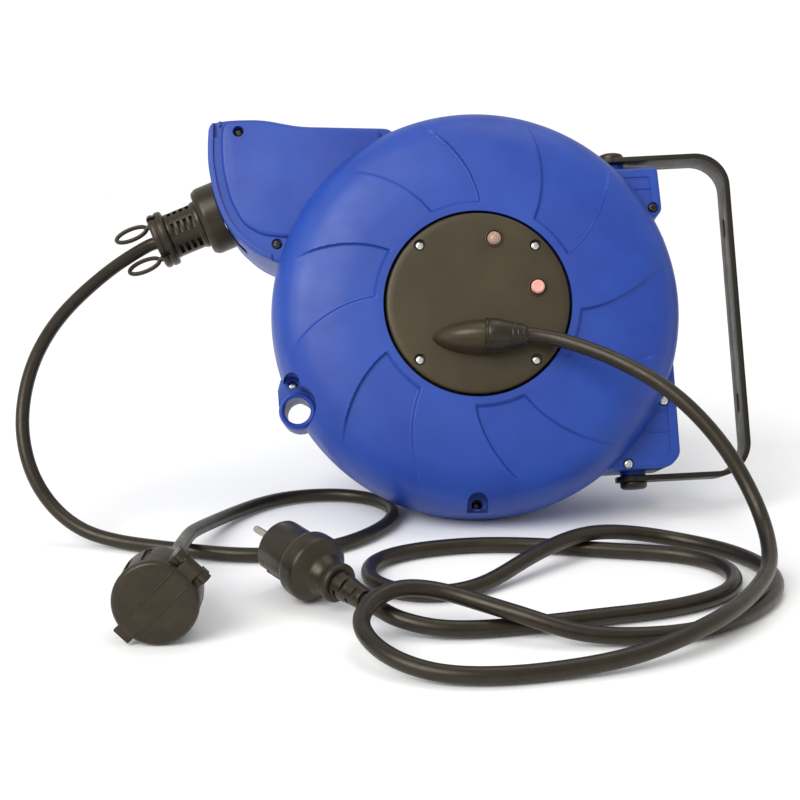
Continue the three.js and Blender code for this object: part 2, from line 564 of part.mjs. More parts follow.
// ---------------------------------------------------------------- cords
// Routes from the drum's floor contact, chosen by hand. A cord rises where it crosses over another.
const leadRoute = [
  [12, -29.9, 146.1], [27, -29.9, 146.1], [41, -30.2, 145.8], [64, -39, 142], [96, -57, 132.5],
  [131, -77, 114], [160, -95, 85], [178, -110, 55], [185, -130, 33], [181, -160, 21], [166, -194, 17.5],
  [143, -231, 16.8], [114, -260, 14], [77, -282, 8.5], [36, -295, 5.7], [-4, -304, 5.7], [-38, -301, 6.5],
  [-65, -285, 11], [-79, -259, 17.5], [-73, -236, 23.5], [-56, -221, 26.5], [-33, -217.5, 23.8],
  [-8, -225, 18.8], [18, -239, 15.5], [52, -247, 7.5], [92, -245, 5.7], [128, -233, 5.7], [160, -206, 5.7],
  [184, -168, 5.7], [189, -128, 5.7], [172, -91, 5.7], [141, -65, 5.7], [106, -63, 10.5], [70, -87, 17.4],
  [34, -122, 14.5], [7, -149, 7.5], [-13, -166, 5.7], [-36, -174, 5.7], [-57, -168.5, 5.7],
  [-72, -153, 5.7], [-77, -132, 5.7], [-72, -111, 5.7], [-56, -94, 5.7], [-31, -82, 5.7], [2, -75, 5.7],
  [42, -77, 5.7], [86, -87, 5.7], [126, -94, 5.7], [151, -108, 5.7], [163, -132, 5.7], [159, -158, 5.7],
  [142, -181, 5.7], [108, -201, 5.7], [66, -214, 5.7], [28, -226, 5.7], [-6, -234, 5.7], [-34, -236, 6.8],
  [-56, -230, 10], [-67.5, -221.5, 12.9], [-77, -211, 15],
];
const cableRoute = [
  [-223, 80.4, 206.5], [-243.3, 77.5, 198.3], [-252, 76, 194.8], [-276, 62, 180], [-302, 34, 157],
  [-317, 8, 135], [-325, -14, 110], [-326, -34, 80], [-318, -46, 50], [-302, -53, 26], [-280, -60, 11],
  [-254, -68, 5.7], [-226, -79, 5.4], [-194, -90, 5.4], [-160, -97, 5.4], [-127, -93, 5.4], [-98, -75, 5.4],
  [-76, -48, 5.4], [-63, -18, 5.4], [-62, 10, 5.4], [-74, 34, 5.4], [-99, 48, 5.4], [-131, 46, 5.4],
  [-158, 30, 5.4], [-180, -2, 6], [-193, -42, 10.5], [-200, -80, 16.5], [-201, -108, 19.5],
  [-200, -136, 24], [-199, -156, 26.2], [-199, -172, 26.4], [-199, -200, 26.4],
];

function cords() {
  piece(floor, "input_cord", tube(leadRoute, LEAD_R, 84), plastic(BLACK, 0.6));
  piece(floor, "output_cord", tube(cableRoute, CABLE_R, 54), plastic(BLACK, 0.6));
}

housing();
coverFittings();
spoolParts();
outletParts();
bracketParts();
plugParts();
couplerParts();
cords();

export default object;
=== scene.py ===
# Retractable extension cord reel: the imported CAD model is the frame, and this script gives it its looks.
import json
import math

import bmesh
import bpy
from mathutils import Matrix, Vector


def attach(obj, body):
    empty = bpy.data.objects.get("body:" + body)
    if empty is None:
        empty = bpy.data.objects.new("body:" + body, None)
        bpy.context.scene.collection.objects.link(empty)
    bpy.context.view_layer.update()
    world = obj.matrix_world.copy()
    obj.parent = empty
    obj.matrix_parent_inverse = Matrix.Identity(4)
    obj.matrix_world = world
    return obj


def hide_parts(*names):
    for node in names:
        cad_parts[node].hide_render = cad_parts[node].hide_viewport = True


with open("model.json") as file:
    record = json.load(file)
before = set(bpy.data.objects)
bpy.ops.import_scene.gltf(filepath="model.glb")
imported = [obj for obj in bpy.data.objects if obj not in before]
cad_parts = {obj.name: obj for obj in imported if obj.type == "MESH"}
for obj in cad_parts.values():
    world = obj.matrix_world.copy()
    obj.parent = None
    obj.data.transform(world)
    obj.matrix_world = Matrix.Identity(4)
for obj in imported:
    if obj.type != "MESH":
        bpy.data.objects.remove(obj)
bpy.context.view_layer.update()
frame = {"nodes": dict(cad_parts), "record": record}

# ---------------------------------------------------------------- places and sizes, in millimetres
MM = 0.001
DRUM_R, REAR_DEPTH, REAR_R, AXLE_R = 153, 77, 125, 7.7
LEAN = math.atan((DRUM_R - REAR_R) / REAR_DEPTH)
SHELL_FRONT, SHELL_REAR = -25, 45
PARTING = 0.35  # half the visible gap between the two shells
COVER_R, COVER_FRONT = 66, -65.5
BLOCK_TURN = math.radians(3)
CONTACT = Vector((36.2, -61.5, 0))  # the drum's floor contact in the row frame
PIVOT_U, PIVOT_Y = 114, 10
LEG_U, STRAP_TOP, STRAP_BOTTOM, STRAP, STRAP_WIDTH = 202, 119, -130, 4, 28
OUTLET = Vector((-195.5, 5, 80.4))
OUTLET_DOWN = math.radians(23.3)
EYE_X, EYE_Z, EYE_R, EYE_WALL = -132, -73, 9.7, 14
EYE_RECESS_R, LUG_RECESS_R, RECESS_FLOOR, SCREW_HOLE_R = 15.5, 7, -18.5, 4.2
SHELL_WALL = 3.4
GLAND = Vector((4, -78, -26))
GLAND_R = 11.5
RESET_X, RESET_Z = 43, 11
LENS_X, LENS_Z = 12, 47
PLUG_TAIL = Vector((-77, -211, 15))
PLUG_FLANGE = Vector((-113, -170, 23.2))
COUPLER = Vector((-199, -165, 26.4))
COUPLER_R, COUPLER_LENGTH = 25.5, 78.8
LEAD_D, CABLE_D = 10.5, 9.8
CORD_STEPS, CORD_EASING = 8, 10  # points to each stretch of a route, and how often they are eased
CAMERA_PLACE, CAMERA_DOWN, CAMERA_LENS = Vector((-56, -1074, 336)), 12.8, 67.5  # place from the floor contact
LIT, BACKDROP = 0.72, 1.05  # the world's strength on the object and behind it
PIN_SPREAD = 9.5  # from the plug's axis to each pin's
FINE = 1  # share of the full mesh resolution

REEL = (Matrix.Translation(CONTACT + Vector((0, DRUM_R * math.sin(LEAN), DRUM_R * math.cos(LEAN))))
        @ Matrix.Rotation(-LEAN, 4, "X"))
BLOCK = REEL @ Matrix.Rotation(-BLOCK_TURN, 4, "Y")
FLOOR = Matrix.Translation(CONTACT)


def basis(x, y, z, origin):
    m = Matrix((x, y, z)).transposed().to_4x4()
    m.translation = origin
    return m


def offset(matrix, x=0, y=0, z=0):
    return matrix @ Matrix.Translation((x, y, z))


def turned(matrix, degrees, axis="Y"):
    return matrix @ Matrix.Rotation(math.radians(degrees), 4, axis)


PIVOT_AXIS = turned(offset(BLOCK, PIVOT_U, PIVOT_Y), 90, "X")
ACROSS = Vector((-math.sin(OUTLET_DOWN), 0, math.cos(OUTLET_DOWN)))
OUTWARD = Vector((-math.cos(OUTLET_DOWN), 0, -math.sin(OUTLET_DOWN)))
STOP = REEL @ basis(ACROSS, OUTWARD, ACROSS.cross(OUTWARD), OUTLET)
PLUG_Y = (PLUG_FLANGE - PLUG_TAIL).normalized()
PLUG_X = Vector((0.456, 0.539, -0.708))
PLUG_X = (PLUG_X - PLUG_Y * PLUG_X.dot(PLUG_Y)).normalized()
PLUG = FLOOR @ basis(PLUG_X, PLUG_Y, PLUG_X.cross(PLUG_Y), PLUG_TAIL)
HINGE = Vector((1, 0, 1)).normalized()
SOCKET = FLOOR @ basis(HINGE, Vector((0, -1, 0)), HINGE.cross(Vector((0, -1, 0))), COUPLER)


# ---------------------------------------------------------------- camera
def make_camera():
    data = bpy.data.cameras.new("camera")
    data.lens = CAMERA_LENS
    data.sensor_width = 36
    camera = bpy.data.objects.new("camera", data)
    bpy.context.scene.collection.objects.link(camera)
    camera.location = (CONTACT + CAMERA_PLACE) * MM
    camera.rotation_euler = (math.radians(90 - CAMERA_DOWN), 0, 0)
    bpy.context.scene.camera = camera


make_camera()


# ---------------------------------------------------------------- procedural materials
class Nodes:
    """A small builder for one material's node tree."""

    def __init__(self, name, **sockets):
        self.material = bpy.data.materials.new(name)
        self.material.use_nodes = True
        self.tree = self.material.node_tree
        self.shader = self.tree.nodes["Principled BSDF"]
        for key, value in sockets.items():
            self.shader.inputs[key.replace("_", " ")].default_value = value
        self.place = self.tree.nodes.new("ShaderNodeTexCoord").outputs["Object"]

    def noise(self, scale, detail=4, rough=0.6, stretch=None):
        place = self.place
        if stretch:
            mapping = self.tree.nodes.new("ShaderNodeMapping")
            mapping.inputs["Scale"].default_value = stretch
            self.tree.links.new(place, mapping.inputs["Vector"])
            place = mapping.outputs["Vector"]
        node = self.tree.nodes.new("ShaderNodeTexNoise")
        node.inputs["Scale"].default_value = scale
        node.inputs["Detail"].default_value = detail
        node.inputs["Roughness"].default_value = rough
        self.tree.links.new(place, node.inputs["Vector"])
        return node.outputs["Fac"]

    def voronoi(self, scale):
        node = self.tree.nodes.new("ShaderNodeTexVoronoi")
        node.inputs["Scale"].default_value = scale
        self.tree.links.new(self.place, node.inputs["Vector"])
        return node.outputs["Distance"]

    def ramp(self, source, low, high, start=0.3, end=0.7):
        node = self.tree.nodes.new("ShaderNodeValToRGB")
        first, last = node.color_ramp.elements
        first.position, last.position = start, end
        first.color, last.color = low, high
        self.tree.links.new(source, node.inputs["Fac"])
        return node.outputs["Color"]

    def range(self, source, low, high, start=0.3, end=0.7):
        node = self.tree.nodes.new("ShaderNodeMapRange")
        for key, value in (("From Min", start), ("From Max", end), ("To Min", low), ("To Max", high)):
            node.inputs[key].default_value = value
        self.tree.links.new(source, node.inputs["Value"])
        return node.outputs["Result"]

    def color(self, source):
        self.tree.links.new(source, self.shader.inputs["Base Color"])

    def roughness(self, source):
        self.tree.links.new(source, self.shader.inputs["Roughness"])

    def bumps(self, *layers):
        """Each layer is (height source, strength, distance in millimetres)."""
        normal = None
        for height, strength, distance in layers:
            node = self.tree.nodes.new("ShaderNodeBump")
            node.inputs["Strength"].default_value = strength
            node.inputs["Distance"].default_value = distance * MM
            self.tree.links.new(height, node.inputs["Height"])
            if normal:
                self.tree.links.new(normal, node.inputs["Normal"])
            normal = node.outputs["Normal"]
        self.tree.links.new(normal, self.shader.inputs["Normal"])


def rgb(r, g, b):
    """A display colour, 0 to 255, as a linear one."""
    def linear(c):
        return c / 255 / 12.92 if c <= 10 else ((c / 255 + 0.055) / 1.055) ** 2.4

    return linear(r), linear(g), linear(b), 1


WARM = (1, 0.88, 0.7, 1)  # the tint of gloss on black pieces


def moulded(name, dark, light, rough, grain_mm=0.03, grain_scale=1400, specular=0.5, tint=(1, 1, 1, 1)):
    """Moulded plastic: fine spark-eroded grain, slow colour drift and a little handling gloss."""
    m = Nodes(name, Specular_IOR_Level=specular, Specular_Tint=tint)
    m.color(m.ramp(m.noise(14, 3), dark, light))
    m.roughness(m.range(m.noise(38, 5, 0.7), rough - 0.05, rough + 0.07))
    m.bumps((m.noise(grain_scale, 2), 0.35, grain_mm), (m.noise(60, 2), 0.12, 0.12))
    return m.material


def jacket(name, dark, light, rough):
    """Extruded rubber: fine skin, faint lengthwise drift in gloss and a dusting of scuffs."""
    m = Nodes(name, Specular_IOR_Level=0.46, Specular_Tint=WARM)
    m.shader.inputs["Sheen Weight"].default_value = 0.05
    m.shader.inputs["Sheen Tint"].default_value = rgb(200, 180, 140)
    m.color(m.ramp(m.noise(90, 5, 0.7), dark, light, 0.35, 0.75))
    m.roughness(m.range(m.noise(160, 4, 0.7), rough - 0.07, rough + 0.1))
    m.bumps((m.noise(900, 3), 0.4, 0.03), (m.noise(120, 3), 0.25, 0.12))
    return m.material


def metal(name, color, rough, grain=(40, 900, 900), aniso=0.0):
    """Plated or brushed steel with fine drawn lines and small dull spots."""
    m = Nodes(name, Metallic=1.0, Anisotropic=aniso)
    m.color(m.ramp(m.noise(220, 4), tuple(c * 0.82 for c in color[:3]) + (1,), color))
    m.roughness(m.range(m.noise(1, 5, 0.7, grain), rough - 0.08, rough + 0.12))
    m.bumps((m.noise(1, 4, 0.6, grain), 0.2, 0.02))
    return m.material


def powder_coat(name, dark, light):
    m = Nodes(name, Specular_IOR_Level=0.35, Specular_Tint=WARM)
    m.color(m.ramp(m.noise(30, 4), dark, light))
    m.roughness(m.range(m.noise(70, 4), 0.36, 0.5))
    m.bumps((m.voronoi(900), 0.3, 0.06), (m.noise(300, 3), 0.3, 0.05))
    return m.material


def clear_lens(name, color):
    m = Nodes(name, Transmission_Weight=0.55, IOR=1.49, Roughness=0.08)
    m.color(m.ramp(m.noise(300, 2), color, tuple(min(1, c * 1.25) for c in color[:3]) + (1,)))
    m.bumps((m.voronoi(700), 0.35, 0.08))
    return m.material


BLUE = moulded("blue_plastic", rgb(20, 53, 138), rgb(28, 67, 156), 0.42, 0.035, 1500, 0.40)
# The warm olive in this black plastic's base colour is a painted reflection of warm surroundings; the plastic
# itself is black
COVER_BLACK = moulded("black_cover_plastic", rgb(38, 32, 20), rgb(54, 46, 28), 0.38, 0.02, 1800, 0.5, WARM)
LEAD_BLACK = jacket("lead_rubber", rgb(16, 13, 10), rgb(32, 27, 20), 0.34)
CABLE_BLACK = jacket("cable_rubber", rgb(17, 14, 11), rgb(32, 27, 20), 0.36)
CONNECTOR_BLACK = jacket("connector_rubber", rgb(22, 18, 13), rgb(42, 35, 25), 0.36)
STOP_BLACK = jacket("stop_rubber", rgb(20, 16, 12), rgb(38, 32, 22), 0.34)
ZINC = metal("bright_zinc", rgb(214, 214, 210), 0.22)
STEEL = metal("plated_steel", rgb(170, 171, 172), 0.32)
# A darker copy of the zinc for housing screws sunk in deep holes: painted shade of the recess, not a
# different finish
RECESS_SHADED_STEEL = metal("steel_with_painted_recess_shade", rgb(66, 63, 58), 0.30)
SPRING_STEEL = metal("blued_spring_steel", rgb(90, 100, 116), 0.30)
NICKEL = metal("nickel_plate", rgb(206, 202, 192), 0.18)
BRASS = metal("brass", rgb(196, 160, 92), 0.26)
BRACKET_BLACK = powder_coat("black_powder_coat", rgb(14, 13, 12), rgb(24, 22, 19))
CAP_BLACK = moulded("black_cap_plastic", rgb(17, 16, 14), rgb(28, 25, 21), 0.34, tint=WARM)
LENS_AMBER = clear_lens("amber_lens", rgb(206, 172, 150))
BUTTON_PINK = moulded("pink_button_plastic", rgb(214, 148, 134), rgb(226, 164, 150), 0.30, 0.01)
INNER_BLACK = moulded("inner_nylon", rgb(40, 40, 43), rgb(52, 52, 55), 0.55)
PHENOLIC = moulded("brown_phenolic", rgb(92, 62, 42), rgb(112, 78, 54), 0.50)
CARBON = moulded("carbon_brush", rgb(36, 36, 38), rgb(50, 50, 52), 0.60)
NYLON = moulded("natural_nylon", rgb(214, 212, 200), rgb(228, 226, 216), 0.45)

SLOT_MATERIALS = {
    "blue_shell": BLUE, "screw_steel": ZINC, "black_cover": COVER_BLACK, "boot_rubber": CONNECTOR_BLACK,
    "lead_jacket": LEAD_BLACK, "cable_jacket": CABLE_BLACK, "indicator_lens": LENS_AMBER,
    "reset_button": BUTTON_PINK, "inner_plastic": INNER_BLACK, "brush_holder": PHENOLIC, "carbon": CARBON,
    "brass": BRASS, "plated_pin": NICKEL, "zinc_steel": STEEL, "spring_steel": SPRING_STEEL,
    "roller_nylon": NYLON, "bracket_paint": BRACKET_BLACK, "pivot_cap": CAP_BLACK, "stop_rubber": STOP_BLACK,
    "connector_rubber": CONNECTOR_BLACK,
}


# ---------------------------------------------------------------- mesh helpers
def make(name, verts, faces, matrix=None):
    """A mesh object from millimetres in a local frame."""
    mesh = bpy.data.meshes.new(name)
    mesh.from_pydata([Vector(v) * MM for v in verts], [], faces)
    mesh.update()
    obj = bpy.data.objects.new(name, mesh)
    bpy.context.scene.collection.objects.link(obj)
    if matrix is not None:
        obj.matrix_world = in_metres(matrix)
    return obj


def in_metres(matrix):
    m = matrix.copy()
    m.translation = matrix.translation * MM
    return m


def tidy_normals(obj):
    bm = bmesh.new()
    bm.from_mesh(obj.data)
    bmesh.ops.remove_doubles(bm, verts=bm.verts, dist=1e-7)
    bmesh.ops.recalc_face_normals(bm, faces=bm.faces)
    bm.to_mesh(obj.data)
    bm.free()


def solid(name, verts, faces, matrix):
    obj = make(name, verts, faces, matrix)
    tidy_normals(obj)
    return obj


def bake(obj):
    """Replaces the mesh by what its modifiers make of it."""
    graph = bpy.context.evaluated_depsgraph_get()
    mesh = bpy.data.meshes.new_from_object(obj.evaluated_get(graph))
    obj.modifiers.clear()
    obj.data = mesh
    return obj


def combine(target, others, operation):
    for other in others:
        modifier = target.modifiers.new("boolean", "BOOLEAN")
        modifier.operation = operation
        modifier.solver = "EXACT"
        modifier.object = other
    bake(target)
    for other in others:
        bpy.data.objects.remove(other)
    return target


def join(target, *others):
    return combine(target, others, "UNION")


def cut(target, *others):
    return combine(target, others, "DIFFERENCE")


def keep_inside(target, other):
    return combine(target, [other], "INTERSECT")


def bevel(obj, width, segments=3, angle=35):
    modifier = obj.modifiers.new("bevel", "BEVEL")
    modifier.width = width * MM
    modifier.segments = segments
    modifier.limit_method = "ANGLE"
    modifier.angle_limit = math.radians(angle)
    modifier.harden_normals = False
    return bake(obj)


def finish(obj, material, slot, body, *nodes, angle=32):
    """Materials, shading and place in the frame for a finished piece."""
    obj.data.transform(obj.matrix_world)
    obj.matrix_world = Matrix()
    obj.data.materials.clear()
    obj.data.materials.append(material)
    obj.data.shade_smooth()
    obj.data.set_sharp_from_angle(angle=math.radians(angle))
    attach(obj, body)
    if nodes:
        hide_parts(*nodes)


def grid(rings, closed_rings=False):
    """Verts and faces of a sheet of rings, each ring a closed loop of the same length."""
    count = len(rings[0])
    verts = [v for ring in rings for v in ring]
    faces = []
    for i in range(len(rings) if closed_rings else len(rings) - 1):
        a, b = i * count, (i + 1) % len(rings) * count
        for j in range(count):
            k = (j + 1) % count
            faces.append((a + j, b + j, b + k, a + k))
    return verts, faces


def lathe(name, profile, matrix, segments=96, closed=False):
    """A profile of (radius, along Y) pairs turned about the frame's Y axis; ends at radius 0 are capped."""
    segments = max(16, int(segments * FINE))
    turns = [2 * math.pi * j / segments for j in range(segments)]
    inner = [p for p in profile if p[0] > 0]
    rings = [[(r * math.cos(t), y, r * math.sin(t)) for t in turns] for r, y in inner]
    verts, faces = grid(rings, closed)
    if profile[0][0] == 0:
        verts.append((0, profile[0][1], 0))
        faces += [(len(verts) - 1, j, (j + 1) % segments) for j in range(segments)]
    if profile[-1][0] == 0:
        last = (len(inner) - 1) * segments
        verts.append((0, profile[-1][1], 0))
        faces += [(len(verts) - 1, last + (j + 1) % segments, last + j) for j in range(segments)]
    return solid(name, verts, faces, matrix)


def rod(name, radius, y0, y1, matrix, segments=48):
    return lathe(name, [(0, y0), (radius, y0), (radius, y1), (0, y1)], matrix, segments)


def rod_tool(radius, y0, y1, x=0, z=0, segments=48):
    return rod("tool", radius, y0, y1, offset(REEL, x, 0, z), segments)


def rounded(profile, radius, steps=4, closed=False):
    """The profile with its inner corners rounded by arcs of about the given radius."""
    out = []
    n = len(profile)
    for i, point in enumerate(profile):
        if not closed and i in (0, n - 1):
            out.append(tuple(point))
            continue
        p, a, b = Vector(point), Vector(profile[i - 1]), Vector(profile[(i + 1) % n])
        if (a - p).length < 1e-6 or (b - p).length < 1e-6:
            out.append(tuple(point))
            continue
        reach = min(radius, (a - p).length * 0.45, (b - p).length * 0.45)
        start, end = p + (a - p).normalized() * reach, p + (b - p).normalized() * reach
        for k in range(steps + 1):
            t = k / steps
            out.append(tuple(start * (1 - t) ** 2 + p * 2 * t * (1 - t) + end * t ** 2))
    return out


def smooth_line(points, per=6, closed=False):
    """Catmull-Rom points through the given ones."""
    out = []
    n = len(points)
    pts = [Vector(p) for p in points]
    for i in range(n if closed else n - 1):
        p1, p2 = pts[i], pts[(i + 1) % n]
        p0 = pts[i - 1] if i or closed else p1 * 2 - p2
        p3 = pts[(i + 2) % n] if i + 2 < n or closed else p2 * 2 - p1
        for k in range(per):
            t = k / per
            out.append(tuple(0.5 * ((p1 * 2) + (p2 - p0) * t + (p0 * 2 - p1 * 5 + p2 * 4 - p3) * t * t
                                    + (p1 * 3 - p0 - p2 * 3 + p3) * t ** 3)))
    if not closed:
        out.append(tuple(pts[-1]))
    return out


def slab(name, outline, front, back, matrix):
    """An outline of (x, z) pairs, solid from y = front to y = back."""
    n = len(outline)
    verts = [(x, front, z) for x, z in outline] + [(x, back, z) for x, z in outline]
    faces = [tuple(range(n)), tuple(range(2 * n - 1, n - 1, -1))]
    faces += [(i, i + n, (i + 1) % n + n, (i + 1) % n) for i in range(n)]
    return solid(name, verts, faces, matrix)


def cuboid(name, low, high, matrix, width=0.0):
    (x0, y0, z0), (x1, y1, z1) = low, high
    obj = slab(name, [(x0, z0), (x1, z0), (x1, z1), (x0, z1)], y0, y1, matrix)
    return bevel(obj, width) if width else obj


def arc(cx, cz, radius, start, end, count=10):
    return [(cx + radius * math.cos(math.radians(a)), cz + radius * math.sin(math.radians(a)))
            for a in (start + (end - start) * i / (count - 1) for i in range(count))]


def inset(outline, distance):
    """The anticlockwise outline moved inwards."""
    out = []
    n = len(outline)
    for i, point in enumerate(outline):
        p, a, b = Vector(point), Vector(outline[i - 1]), Vector(outline[(i + 1) % n])
        n1 = Vector((-(p - a).y, (p - a).x)).normalized()
        n2 = Vector((-(b - p).y, (b - p).x)).normalized()
        mean = (n1 + n2) / max(0.5, 1 + n1.dot(n2))
        out.append(tuple(p + mean * distance))
    return out


def smooth_outline(outline, radius=9):
    return rounded(outline, radius, 6, closed=True)


def area(outline):
    return sum(a[0] * b[1] - b[0] * a[1] for a, b in zip(outline, outline[1:] + outline[:1])) / 2


def soft_slab(name, outline, front, back, matrix, front_round=0.0, back_round=0.0):
    """A slab whose front and back edges are rounded over by moving the outline inwards."""
    turns = [math.pi / 2 * k / 5 for k in range(6)]
    ordered = outline if area(outline) > 0 else outline[::-1]
    rings = []
    if front_round:
        for t in turns:
            ring = inset(ordered, front_round * (1 - math.sin(t)))
            rings.append([(x, front + front_round * (1 - math.cos(t)), z) for x, z in ring])
    else:
        rings.append([(x, front, z) for x, z in ordered])
    if back_round:
        for t in turns:
            ring = inset(ordered, back_round * (1 - math.cos(t)))
            rings.append([(x, back - back_round * (1 - math.sin(t)), z) for x, z in ring])
    else:
        rings.append([(x, back, z) for x, z in ordered])
    verts, faces = grid(rings)
    faces.append(tuple(range(len(ordered))))
    faces.append(tuple(range(len(verts) - 1, len(verts) - len(ordered) - 1, -1)))
    return solid(name, verts, faces, matrix)


# ---------------------------------------------------------------- cords
# Routes from the drum's floor contact, as in the CAD. A cord rises where it crosses over another.
LEAD_ROUTE = [
    (12, -29.9, 146.1), (27, -29.9, 146.1), (41, -30.2, 145.8), (64, -39, 142), (96, -57, 132.5),
    (131, -77, 114), (160, -95, 85), (178, -110, 55), (185, -130, 33), (181, -160, 21), (166, -194, 17.5),
    (143, -231, 16.8), (114, -260, 14), (77, -282, 8.5), (36, -295, 5.7), (-4, -304, 5.7), (-38, -301, 6.5),
    (-65, -285, 11), (-79, -259, 17.5), (-73, -236, 23.5), (-56, -221, 26.5), (-33, -217.5, 23.8),
    (-8, -225, 18.8), (18, -239, 15.5), (52, -247, 7.5), (92, -245, 5.7), (128, -233, 5.7), (160, -206, 5.7),
    (184, -168, 5.7), (189, -128, 5.7), (172, -91, 5.7), (141, -65, 5.7), (106, -63, 10.5), (70, -87, 17.4),
    (34, -122, 14.5), (7, -149, 7.5), (-13, -166, 5.7), (-36, -174, 5.7), (-57, -168.5, 5.7),
    (-72, -153, 5.7), (-77, -132, 5.7), (-72, -111, 5.7), (-56, -94, 5.7), (-31, -82, 5.7), (2, -75, 5.7),
    (42, -77, 5.7), (86, -87, 5.7), (126, -94, 5.7), (151, -108, 5.7), (163, -132, 5.7), (159, -158, 5.7),
    (142, -181, 5.7), (108, -201, 5.7), (66, -214, 5.7), (28, -226, 5.7), (-6, -234, 5.7), (-34, -236, 6.8),
    (-56, -230, 10), (-67.5, -221.5, 12.9), (-77, -211, 15),
]
CABLE_ROUTE = [
    (-223, 80.4, 206.5), (-243.3, 77.5, 198.3), (-252, 76, 194.8), (-276, 62, 180), (-302, 34, 157),
    (-317, 8, 135), (-325, -14, 110), (-326, -34, 80), (-318, -46, 50), (-302, -53, 26), (-280, -60, 11),
    (-254, -68, 5.7), (-226, -79, 5.4), (-194, -90, 5.4), (-160, -97, 5.4), (-127, -93, 5.4), (-98, -75, 5.4),
    (-76, -48, 5.4), (-63, -18, 5.4), (-62, 10, 5.4), (-74, 34, 5.4), (-99, 48, 5.4), (-131, 46, 5.4),
    (-158, 30, 5.4), (-180, -2, 6), (-193, -42, 10.5), (-200, -80, 16.5), (-201, -108, 19.5),
    (-200, -136, 24), (-199, -156, 26.2), (-199, -172, 26.4), (-199, -200, 26.4),
]


def cord(name, route, diameter, material, node):
    """One smooth open spline through a route, laid as a round cord."""
    line = [(p + CONTACT) * MM for p in relaxed(smooth_line(route, CORD_STEPS), CORD_EASING)]
    data = bpy.data.curves.new(name, "CURVE")
    data.dimensions = "3D"
    data.bevel_depth = diameter / 2 * MM
    data.bevel_resolution = 8 if FINE == 1 else 3
    data.use_fill_caps = True
    spline = data.splines.new("POLY")
    spline.points.add(len(line) - 1)
    for point, place in zip(spline.points, line):
        point.co = (*place, 1)
    spline.use_smooth = True
    obj = bpy.data.objects.new(name, data)
    bpy.context.scene.collection.objects.link(obj)
    obj.data.materials.append(material)
    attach(obj, "housing")
    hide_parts(node)


def relaxed(line, passes):
    """The polyline eased towards its neighbours' middles; the first and last few points stay."""
    line = [Vector(p) for p in line]
    for _ in range(passes):
        line = line[:4] + [(a + p * 2 + b) / 4 for a, p, b in zip(line[3:], line[4:-4], line[5:])] + line[-4:]
    return line


# ---------------------------------------------------------------- the drum's front shell
PETAL_FROM, PETAL_TO, PETAL_SWEEP, PETAL_STEP = 88.5, 116.5, 20.0, 2.7
PETAL_R0, PETAL_R1 = 74.5, 148
PETAL_WALL = 2.4
FRONT_PROFILE = [(68, -63), (74, -63), (102, -62), (126, -57.5), (142, -48), (150, -34), (DRUM_R, -14),
                 (DRUM_R, -PARTING)]
LUG_SCREW = (-136, -55)
SHELL_SCREWS = [(-178, 138, -22.4), (-148, 52, -22.4), (-136, -55, -15.6), (0, -144, -17.6),
                (107, 96, -22.4), (112, -113, -22.4), (134, 80, -22.4), (139, -66, -22.4)]
# Screws that keep the bright zinc; the other housing screws get the darker steel as painted recess shade
SCREWS_LEFT_UNSHADED = (2, 5, 7)
COVER_SCREWS = [(59 * math.cos(math.radians(a)), 59 * math.sin(math.radians(a))) for a in (45, 135, 225, 315)]


def smooth_step(x):
    x = min(1, max(0, x))
    return x * x * (3 - 2 * x)


def petal_depth(r, degrees):
    """How far the face is sunk at a place: six swept panels with a sharp step round three sides."""
    sweep = PETAL_SWEEP * (max(0, r - PETAL_R0) / (PETAL_R1 - PETAL_R0)) ** 1.25
    a = (degrees - sweep - PETAL_FROM) % 60
    edge = min(a, PETAL_TO - PETAL_FROM - a) * math.radians(1) * r
    depth = smooth_step(edge / PETAL_WALL + 0.5) * smooth_step((r - PETAL_R0) / PETAL_WALL + 0.5)
    return PETAL_STEP * depth * smooth_step((PETAL_R1 - r) / 26)


def drum_front():
    """The dished face as a fine polar sheet, closed behind by a plain inner skin."""
    profile = rounded(FRONT_PROFILE, 14, 6)
    dense = []
    for (r0, y0), (r1, y1) in zip(profile, profile[1:]):
        count = max(1, int(math.hypot(r1 - r0, y1 - y0) / (0.8 / FINE)))
        dense += [(r0 + (r1 - r0) * k / count, y0 + (y1 - y0) * k / count) for k in range(count)]
    dense.append(profile[-1])
    around = int(1080 * FINE) // 6 * 6
    rings = []
    for r, y in dense:
        ring = []
        for j in range(around):
            degrees = 360 * j / around
            sunk = petal_depth(r, degrees)
            slope = smooth_step((r - 118) / 34)
            a = math.radians(degrees)
            radius = r - sunk * slope
            ring.append((radius * math.cos(a), y + sunk * (1 - slope), radius * math.sin(a)))
        rings.append(ring)
    back = [(149.6, -PARTING), (149.6, -14), (146.6, -34), (139, -45.5), (124, -54), (101, -58), (68, -58.2)]
    for r, y in back:
        rings.append([(r * math.cos(2 * math.pi * j / around), y, r * math.sin(2 * math.pi * j / around))
                      for j in range(around)])
    verts, faces = grid(rings, True)
    return solid("drum_front", verts, faces, REEL)


WING = [(-60, 30), (-60, 141.5), (-132, 143), (-161, 148.5), (-184, 148), (-198, 146), (-201, 141),
        (-201.5, 128), (-201, 114), (-196.5, 90), (-190, 73), (-182, 60), (-165, 45), (-146, 37), (-120, 30)]
WING_PAD = [(-70, 48), (-70, 140.6), (-132, 142), (-161, 147.4), (-182, 147), (-189, 144.5), (-191, 138),
            (-191, 124), (-189.5, 108), (-184, 86), (-174, 67), (-160, 58.5), (-142, 56.5), (-112, 56)]
BLOCK_OUTLINE = [(70, -60), (87, -122), (137, -122), (144.7, -114), (144.7, 50), (137.5, 58), (137.5, 64),
                 (144.7, 70), (143.5, 104), (70, 104)]
BLOCK_HOLLOW = [(73, -59.5), (89.5, -118.5), (135.5, -118.5), (141.2, -112.5), (141.2, 48.5), (134, 56.5),
                (134, 65.5), (141.2, 71.5), (140, 100.5), (73, 100.5)]


